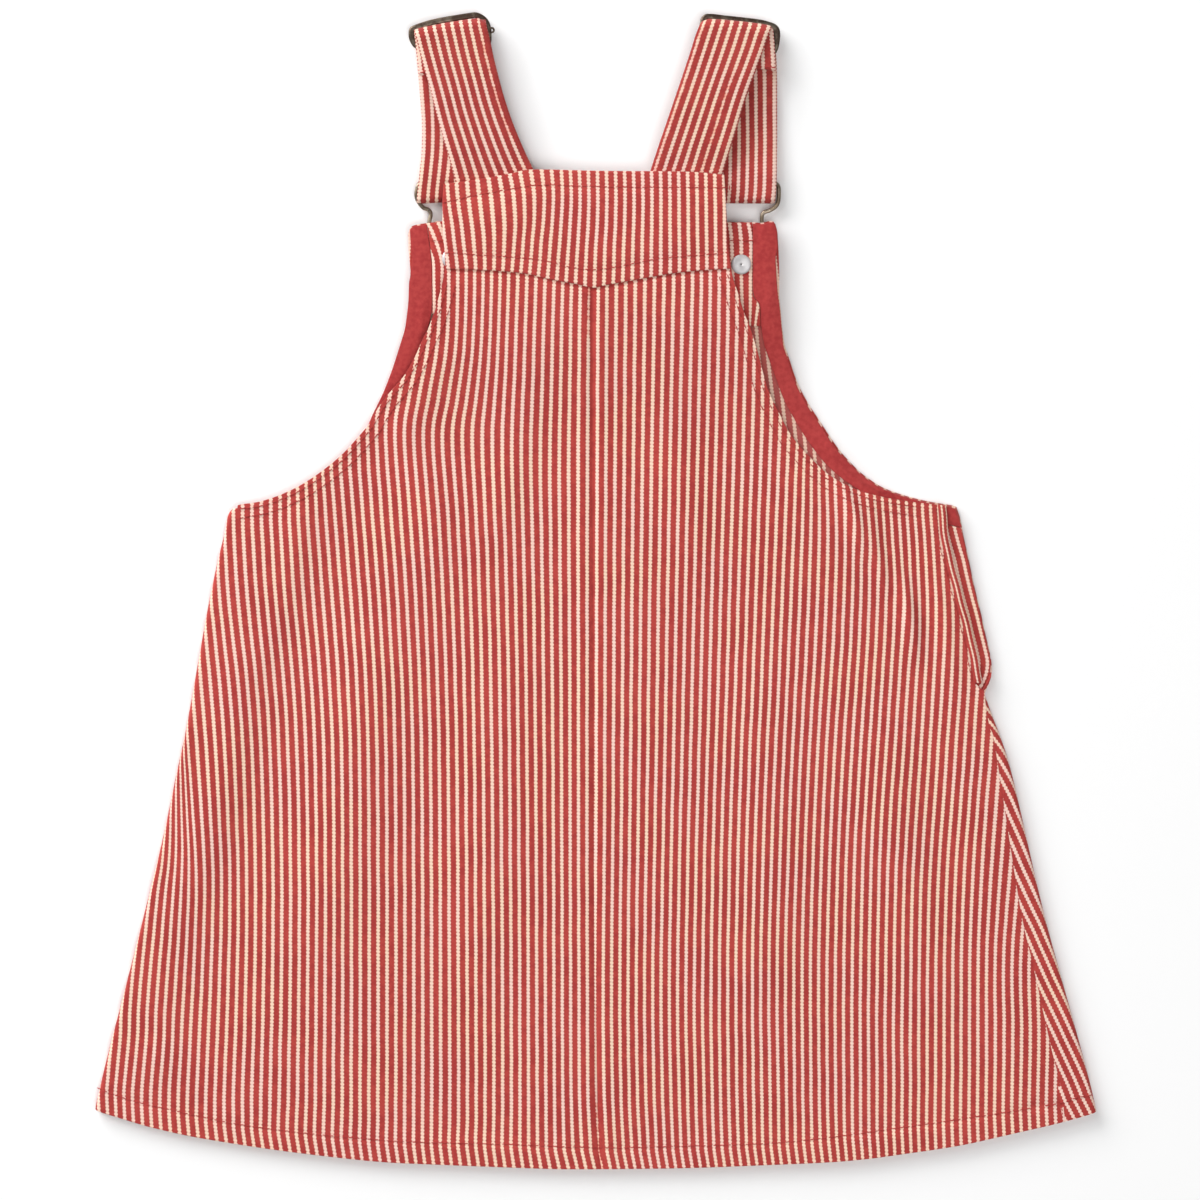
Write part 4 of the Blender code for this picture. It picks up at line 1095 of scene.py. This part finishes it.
def strapSections(side):
    # for each section its outer and inner edge, on the strap's middle plane, and how far it
    # has turned from its top run to the layers below
    half, turn, topZ, rows = strap["half"], strap["turn"], strap["topZ"], strap["upRows"]
    sections, turned = [], []

    def lay(outer, inner, height, low=1.0):
        sections.append((*outer, height, *inner, height))
        turned.append(float(low))

    edges = [strap[f"{side}Up{end}"] for end in ("Outer", "Inner")]
    reach = turn + half
    upOuter, upInner = (cutShort(points, reach, rows) for points in edges)
    foldOuter, foldInner = (np.array(points[-1]) for points in edges)
    aheadUp = unit(foldOuter + foldInner - upOuter[-1] - upInner[-1])
    down = np.array(strap[side + "Down"])
    aheadDown = unit(down[0] - down[2])
    heights = mix(strap["hidden"], strap["upZ"], smoothStep(0.04, 0.30, even(rows - 1)))
    for section in zip(upOuter, upInner, heights):
        lay(*section, 0.0)
    for angle in np.linspace(0.0, math.pi, strap["turnRows"])[1:-1]:
        ahead = unit(mix(aheadUp, aheadDown, angle / math.pi))
        back = ahead * (half + turn * (1.0 - math.sin(angle)))
        lay(foldOuter - back, foldInner - back, topZ + turn * math.cos(angle),
            smoothStep(0.3, 0.7, angle / math.pi))
    outer = cutShort(down, strap["loop"] + half, 48, reach)
    across = [np.array(vector) for vector in strap[side + "Across"]]
    share = smoothStep(0.0, 0.55, even(47))[:, None]
    inner = outer + across[0] * (1.0 - share) + across[1] * share
    for section in zip(outer, inner):
        lay(*section, strap["lowZ"])
    down = unit(outer[-1] - outer[-3])
    for angle in np.linspace(0.0, math.pi, 14)[1:-1]:
        push = down * strap["loop"] * math.sin(angle)
        lay(outer[-1] + push, inner[-1] + push, strap["hookZ"] - strap["loop"] * math.cos(angle))
    outer, inner = outer[::-1], inner[::-1]
    for section in zip(outer, inner, np.interp(outer[:, 1], *zip(*strap["rise"]))):
        lay(*section)
    for angle in np.linspace(math.pi, 0.0, 12)[1:-1]:
        push = aheadDown * strap["tailTurn"] * math.sin(angle)
        lay(outer[-1] + push, inner[-1] + push, topZ + strap["tailTurn"] * math.cos(angle))
    for place in along(strap[side + "Tail"], even(12)):
        lay(place, place + across[0] * 0.985, topZ + strap["tailTurn"])
    return np.array(sections), turned


def ringFaces(rings, sides, closed=False, flip=False):  # between rings of points, and at the ends
    faces = []
    for n in range(rings if closed else rings - 1):
        for k in range(sides):
            a, b = n * sides, (n + 1) % rings * sides
            after = (k + 1) % sides
            face = (a + k, a + after, b + after, b + k)
            faces.append((face[0], *face[:0:-1]) if flip else face)
    if not closed:
        first, last = range(sides), range((rings - 1) * sides, rings * sides)
        faces += [tuple(first), tuple(last)[::-1]] if flip else [tuple(first)[::-1], tuple(last)]
    return faces


def buildStrap(side):
    sections, turned = strapSections(side)
    half = build["strapCloth"] / 2
    centre = (sections[:, :3] + sections[:, 3:]) / 2
    heading = np.gradient(centre, axis=0)
    heading /= np.linalg.norm(heading, axis=1)[:, None]
    length = np.concatenate([[0], np.cumsum(np.linalg.norm(np.diff(centre, axis=0), axis=1))])
    across = sections[:, 3:] - sections[:, :3]
    width = np.linalg.norm(across, axis=1)
    across /= width[:, None]
    up = np.cross(heading, across)
    up /= np.linalg.norm(up, axis=1)[:, None]

    def rounded(start, *angles):
        return [(start + strap["edgeRound"] * math.cos(math.radians(angle)),
                 math.sin(math.radians(angle))) for angle in angles]

    columns = 20
    ring = [(n / columns, 1.0) for n in range(columns + 1)]  # place across, height in half walls
    ring += rounded(1.0, 45.0, 0.0, -45.0)
    ring += [(place, -1.0) for place, _ in ring[columns::-1]]
    ring += rounded(0.0, -135.0, 180.0, 135.0)
    upStripes, lowStripes, bow = (tuple(zip(*strap[name])) for name in (
        side + "UpStripes", side + "LowStripes", "bow"))
    fold = float(length[strap["upRows"] - 1 + strap["turnRows"] // 2])  # at the slider
    vertices, uv = [], []
    for n, section in enumerate(sections):
        nearFold = math.exp(-((length[n] - fold) / 7.0) ** 2)
        for place, high in ring:
            inside = strap["edgeInset"] + place * strap["between"]
            lift = half * high * (1.0 - 0.25 * (abs(place * 2 - 1) > 0.97))
            point = section[:3] + across[n] * width[n] * inside + up[n] * lift
            point[1] += nearFold * np.interp(place, *bow)
            if 2 < n < strap["upRows"] - 2:
                point[2] += 0.18 * ripple(point[0] * 1.5, point[1] * 1.5, 4.0)
            vertices.append(point)
            uv.append((mix(np.interp(place, *upStripes), np.interp(place, *lowStripes),
                           turned[n]), length[n]))
    faces = ringFaces(len(sections), len(ring))
    if side == "Right":
        faces = [face[::-1] for face in faces]
    settle(makeMesh(f"strap{side}Cloth", vertices, faces, uv, (strapStriped[side],)),
           f"strap_{side.lower()}")
    return length[-1]


strapLength = {side: buildStrap(side) for side in ("Left", "Right")}
print("straps made", strapLength)


# sliders, hooks and buttons

def tubeAlong(points, wide, tall, sides=12, closed=False, square=1.0):
    # a tube along points that lie flat, wide across them and tall in Z; square below 1 gives
    # it flatter sides
    points = np.array(points, dtype=float)
    wide = np.broadcast_to(wide, len(points))
    if closed:
        before, after = np.roll(points, 1, axis=0), np.roll(points, -1, axis=0)
    else:
        before = np.vstack([points[:1], points[:-1]])
        after = np.vstack([points[1:], points[-1:]])
    heading = (after - before)[:, :2]
    heading /= np.hypot(heading[:, 0], heading[:, 1])[:, None]
    side = np.column_stack([heading[:, 1], -heading[:, 0], np.zeros(len(points))])
    vertices = []
    for n, point in enumerate(points):
        for k in range(sides):
            angle = 2 * math.pi * (k + 0.5) / sides
            out, rise = (math.copysign(abs(part) ** square, part)
                         for part in (math.cos(angle), math.sin(angle)))
            vertices.append(point + side[n] * wide[n] / 2 * out + (0.0, 0.0, tall / 2 * rise))
    return vertices, ringFaces(len(points), sides, closed)


def joined(parts):
    vertices, faces = [], []
    for some, corners in parts:
        start = len(vertices)
        vertices += some
        faces += [tuple(start + k for k in face) for face in corners]
    return vertices, faces


def buildMetal(name, node, shape, material):
    piece = makeMesh(name, *shape, materials=(material,))
    mesh = bmesh.new()
    mesh.from_mesh(piece.data)
    bmesh.ops.recalc_face_normals(mesh, faces=mesh.faces)
    mesh.to_mesh(piece.data)
    mesh.free()
    settle(piece, node)


slider = {
    "wide": 2.6, "middleWide": 1.3, "tall": 1.7, "z": 4.25, "ring": 0.97, "ringWire": 0.88,
    "Left": fromPhoto(
        (422, 47.8), (416, 45.2), (412.8, 40.5), (411.5, 36), (411.4, 31.5), (412.2, 29.4), (414.6, 27.9),
        (425, 24.2), (433, 22), (446, 19.4), (458, 17.4), (471, 15.4), (476.2, 15.1), (481.3, 17.4),
        (485.5, 21.2), (487.8, 26.5), (488.6, 33), (488.6, 40), (487, 44.5), (482.5, 47.2), (460, 50.5),
        (440, 51), height=5.0),
    "Right": fromPhoto(
        (702.8, 22.5), (704.2, 18.4), (708.5, 16.5), (723, 17.9), (740, 19.8), (752.5, 21.2), (762, 22.7),
        (769.5, 24.9), (774.6, 27.7), (776.5, 31), (776.9, 37.5), (776.3, 44), (775, 49), (771.5, 51.6),
        (755, 51), (735, 49), (712, 46.5), (704.5, 44.6), (702, 39), (701.6, 30), height=5.0),
    "eye": fromPhoto((491.7, 30), height=5.0)[0],
}


def closedLine(points, steps=6):
    points = np.array(points, dtype=float)
    line = smoothLine(np.vstack([points[-2:], points, points[:2]]), steps)
    return line[2 * steps:-2 * steps + steps - 1]


def buildSlider(side):
    line, z = closedLine(slider[side]), slider["z"]
    wide = np.full(len(line), slider["wide"])
    if side == "Right":  # its outer arm is broader, and narrows towards the lower bar
        wide += 0.5 * smoothStep(76.0, 79.0, line[:, 0]) * smoothStep(238.0, 246.0, line[:, 1])
    bars = [tubeAlong([(*place, z) for place in line], wide, slider["tall"], 16, True, 0.7)]
    down = np.array(strap[side + "Down"])
    ahead = unit(down[0] - down[2])
    ends = [np.array(strap[side + "Up" + end][-1]) - ahead * (strap["turn"] + strap["half"])
            for end in ("Outer", "Inner")]
    reach = unit(ends[1] - ends[0]) * 0.9
    bar = [(*mix(ends[0] - reach, ends[1] + reach, share), z) for share in even(24)]
    bars.append(tubeAlong(bar, slider["middleWide"], slider["tall"] * 0.85))
    if side == "Left":  # the bar's end, rolled into a small eye
        (x, y), ring, wire = slider["eye"], slider["ring"], slider["ringWire"]
        loop = [(x + ring * math.cos(angle), y + ring * math.sin(angle), z + 0.3)
                for angle in np.linspace(0, 2 * math.pi, 21)[:-1]]
        bars.append(tubeAlong(loop, wire, wire, 10, True))
    buildMetal(f"slider{side}Metal", f"slider_{side.lower()}", joined(bars), brass)


hookWire = {  # half of each hook, measured sideways from its button
    "wire": 1.85,
    "Left": [(0.0, 179.3), (8.0, 179.3), (14.0, 179.2), (15.0, 178.3), (15.4, 176.7),
             (15.8, 174.5), (15.4, 172.3), (14.1, 170.1), (12.5, 168.4), (10.7, 167.8),
             (9.6, 166.5), (9.4, 165.2), (9.9, 163.0), (10.2, 160.5)],
    "Right": [(0.0, 179.3), (8.0, 179.3), (14.6, 179.2), (16.0, 178.6), (16.6, 177.2),
              (16.7, 174.8), (16.6, 172.6), (16.0, 170.1), (14.5, 168.4), (12.3, 167.2),
              (10.3, 166.6), (9.4, 165.5), (9.2, 163.8), (9.2, 162.3)],
    "end": [(9.8, 158.0), (8.6, 152.6), (5.8, 148.8), (4.3, 146.2), (4.1, 143.4),
            (3.1, 140.8), (0.0, 139.6)],
}


def buildHook(side):
    centre, wire = button["places"][side][0], hookWire["wire"]
    half = along(hookWire[side] + hookWire["end"], even(100))
    route = np.vstack([half, half[-2:0:-1] * (-1.0, 1.0)])
    points = [(x + centre, y, strap["hookZ"]) for x, y in route]
    buildMetal(f"hook{side}Wire", f"hook_{side.lower()}", tubeAlong(points, wire, wire, 14, True),
               brassWire)


def turnedShape(profile, place, rest=0.0, steps=48):
    # a profile of (radius, height) turned about a vertical line, from the height rest
    vertices = [(place[0] + radius * math.cos(angle), place[1] + radius * math.sin(angle), rest + z)
                for radius, z in profile
                for angle in (2 * math.pi * k / steps for k in range(steps))]
    return vertices, ringFaces(len(profile), steps, flip=True)


button = {
    "places": {"Left": (-62.7, 145.9), "Right": fromPhoto((741.3, 264.4), height=7.0)[0]},
    "cap": [(0.3, 0.25), (2.2, 0.22), (2.6, 0.1), (5.9, 0.1), (6.2, 0.28), (6.5, 0.1),
            (7.9, 0.0), (8.35, 0.25), (8.5, 0.7), (8.35, 1.15), (7.9, 1.38), (3.4, 1.4),
            (2.7, 1.5), (2.6, 2.0), (2.6, 3.3), (2.4, 3.5), (0.3, 3.5)],
    "tack": [(0.1, 0.52), (0.3, 0.54), (0.55, 0.74), (1.0, 0.92), (2.2, 0.9), (3.2, 0.76),
             (3.9, 0.56), (4.24, 0.34), (4.38, 0.14), (4.34, 0.02), (4.1, 0.0), (0.12, 0.0)],
}


def buildButton(side):
    place, low = button["places"][side], side.lower()
    buildMetal(f"buttonCap{side}", f"button_cap_{low}", turnedShape(button["cap"], place), brass)
    rest = build["bibRise"] + 2 * build["cloth"] + 2 * build["gap"]
    buildMetal(f"buttonTack{side}", f"button_tack_{low}",
               turnedShape(button["tack"], place, rest), tackMetal(f"nickelTack{side}", place))


for side in ("Left", "Right"):
    buildSlider(side)
for side in ("Left", "Right"):
    buildHook(side)
    buildButton(side)
print("metal made")


# topstitching

stitch = {
    "length": 2.6, "gap": 0.22, "thread": 0.50, "seed": 7, "lift": 0.18,
    "armhole": ((5.7, 2), (2.0, 14)),  # each row's inset, and the samples cut at the left one's end
}


def stitchTree(material):
    tree = bpy.data.node_groups.new("topstitching", "GeometryNodeTree")

    def socket(name, kind, side="INPUT"):
        return tree.interface.new_socket(name, in_out=side,
                                         socket_type=f"NodeSocket{kind}").identifier

    def add(kind, sockets=None, **settings):
        return addNode(tree, kind, settings, sockets or {}).outputs

    socket("Geometry", "Geometry")
    inputs = {name: socket(name, kind) for name, kind in (
        ("Stitch length", "Float"), ("Gap", "Float"), ("Thread", "Float"), ("Seed", "Int"))}
    socket("Geometry", "Geometry", "OUTPUT")
    source = add("NodeGroupInput")
    spacing = add("ShaderNodeMath", {0: source["Stitch length"], 1: source["Gap"]},
                  operation="ADD")
    line = add("GeometryNodeResampleCurve", {"Curve": source["Geometry"], "Length": spacing[0]},
               mode="LENGTH")
    grain = add("GeometryNodeMeshUVSphere", {"Segments": 6, "Rings": 5, "Radius": 0.5})
    size = add("ShaderNodeCombineXYZ", {"X": source["Stitch length"], "Y": source["Thread"],
                                        "Z": source["Thread"]})
    shaped = add("GeometryNodeTransform", {"Geometry": grain["Mesh"], "Scale": size[0]})
    heading = add("GeometryNodeInputTangent")
    aimed = add("FunctionNodeAlignRotationToVector", {"Vector": heading[0]}, axis="X")
    varied = add("FunctionNodeRandomValue", {"Min": (0.88, 0.85, 0.8), "Max": (1.06, 1.15, 1.1),
                                             "Seed": source["Seed"]}, data_type="FLOAT_VECTOR")
    placed = add("GeometryNodeInstanceOnPoints", {
        "Points": line["Curve"], "Instance": shaped["Geometry"], "Rotation": aimed["Rotation"],
        "Scale": varied[0]})
    real = add("GeometryNodeRealizeInstances", {"Geometry": placed["Instances"]})
    colored = add("GeometryNodeSetMaterial", {"Geometry": real["Geometry"], "Material": material})
    add("NodeGroupOutput", {"Geometry": colored["Geometry"]})
    return tree, inputs


def stitchLines():
    lift = stitch["lift"]

    def on(points, height, start=0.0, end=1.0, count=160):
        line = along(points, np.linspace(start, end, count))
        return np.column_stack([line, height(*line.T) + lift])

    seamSide = fromPhoto((1052, 1105))[0][0]
    yield on([p for p in edge["hemStitch"] if p[0] < seamSide], backTop, 0.003, 0.999, 400)
    wrap = [p for p in edge["hemStitch"] if p[0] > seamSide - 20.0]
    yield on(wrap, lambda x, y: np.full(len(x), 2 * build["fold"]), 0.30, 0.99, 24)
    yield on(yoke["upperStitch"], yokeTop)
    yield on(yoke["lowerStitch"], yokeTop)
    for inset, last in stitch["armhole"]:
        yield on(beside(edge["backArmholeRight"], -inset)[10:-4:4], backTop)
        yield on(beside(edge["backArmholeLeft"], inset)[10:-last:4], backTop)
    x, y = np.linspace(*bibStripes["stitchEnds"], 90), np.full(90, bibStripes["stitchY"])
    yield np.column_stack([x, y, facingTop(y) + lift - 0.1])
    yield on(shifted(edge["openingBack"], -build["bindingWidth"] - 1.2), backTop, 0.02, 0.97)
    for side in ("Left", "Right"):
        share = np.linspace(0.04, 0.96, 30)[:, None]
        line = np.add(strap[side + "Tail"][-1], (0.0, 1.2)) + share * strap[side + "Across"][0]
        z = strap["topZ"] + strap["tailTurn"] + build["strapCloth"] / 2 + lift
        yield np.column_stack([line, np.full(30, z)])


def buildStitches():
    curve = bpy.data.curves.new("topstitching", "CURVE")
    curve.dimensions = "3D"
    for points in stitchLines():
        spline = curve.splines.new("POLY")
        spline.points.add(len(points) - 1)
        spline.points.foreach_set("co", np.column_stack([points * mm, np.ones(len(points))]).ravel())
    guide = addObject("stitchGuide", curve)
    sewing = guide.modifiers.new("sewing", "NODES")
    sewing.node_group, inputs = stitchTree(thread)
    for name, value in (("Stitch length", stitch["length"]), ("Gap", stitch["gap"]),
                        ("Thread", stitch["thread"])):
        sewing[inputs[name]] = value * mm
    sewing[inputs["Seed"]] = stitch["seed"]
    ready = guide.evaluated_get(bpy.context.evaluated_depsgraph_get())
    mesh = bpy.data.meshes.new_from_object(ready)
    mesh.name = "topstitching"
    guide.modifiers.remove(sewing)
    bpy.data.objects.remove(guide)
    if not mesh.uv_layers:
        mesh.uv_layers.new(name="cloth")
    else:
        mesh.uv_layers[0].name = "cloth"
    mesh.shade_smooth()
    piece = addObject("topstitching", mesh)
    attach(piece, "root")
    print("stitches", len(mesh.polygons) // 30)


buildStitches()


# floor, light and camera

studio = {
    "frame": 528.0,  # the photo's width, in millimetres
    "sensor": 36.0, "world": 0.14, "floor": 3000.0, "floorZ": -0.4,
    "lamps": [  # place, width, height, power
        ("lowSoftbox", (-1.9, 1.9, 0.98), 2.6, 1.2, 98.0),
        ("keyLight", (-0.9, 0.95, 1.5), 1.0, 1.0, 9.5),
        ("topLight", (0.65, -0.8, 2.5), 2.0, 2.0, 38.5),
    ],
}


def buildStudio():
    scene, shader = bpy.context.scene, Shader("paleFloor")
    tone = shader.soft(shader.speckle(shader.place(), 3.0), 0.3, 0.7)
    color = shader.blend(tone, (0.97, 0.97, 0.97), (0.98, 0.98, 0.98))
    floorMaterial = shader.finish(Base_Color=color, Roughness=0.9, Specular_IOR_Level=0.1)
    far, z = studio["floor"], studio["floorZ"]
    corners = [(-far, -far, z), (far, -far, z), (far, far, z), (-far, far, z)]
    makeMesh("studioFloor", corners, [(0, 1, 2, 3)], None, (floorMaterial,))
    scene.world = bpy.data.worlds.new("softStudio")
    scene.world.use_nodes = True
    background = scene.world.node_tree.nodes["Background"]
    background.inputs["Color"].default_value = (1.0, 1.0, 1.0, 1.0)
    background.inputs["Strength"].default_value = studio["world"]
    for name, spot, width, height, power in studio["lamps"]:
        lamp = bpy.data.lights.new(name, "AREA")
        lamp.shape, lamp.size, lamp.size_y, lamp.energy = "RECTANGLE", width, height, power
        light = addObject(name, lamp)
        light.location = spot
        light.rotation_mode = "QUATERNION"
        light.rotation_quaternion = (-Vector(spot)).to_track_quat("-Z", "Y")
    camera = bpy.data.cameras.new("camera")
    camera.type = "PERSP"
    camera.sensor_width = studio["sensor"]
    camera.lens = studio["sensor"] * viewReach / studio["frame"]
    camera.clip_start, camera.clip_end = 0.05, 20.0
    scene.camera = addObject("camera", camera)
    scene.camera.location = Vector(viewFrom) * mm
    scene.view_settings.view_transform = "Standard"


buildStudio()
print("studio made")


# each strap's length in metres, worked out and not used

for side in ("left", "right"):
    strapLength[side.capitalize()] * mm
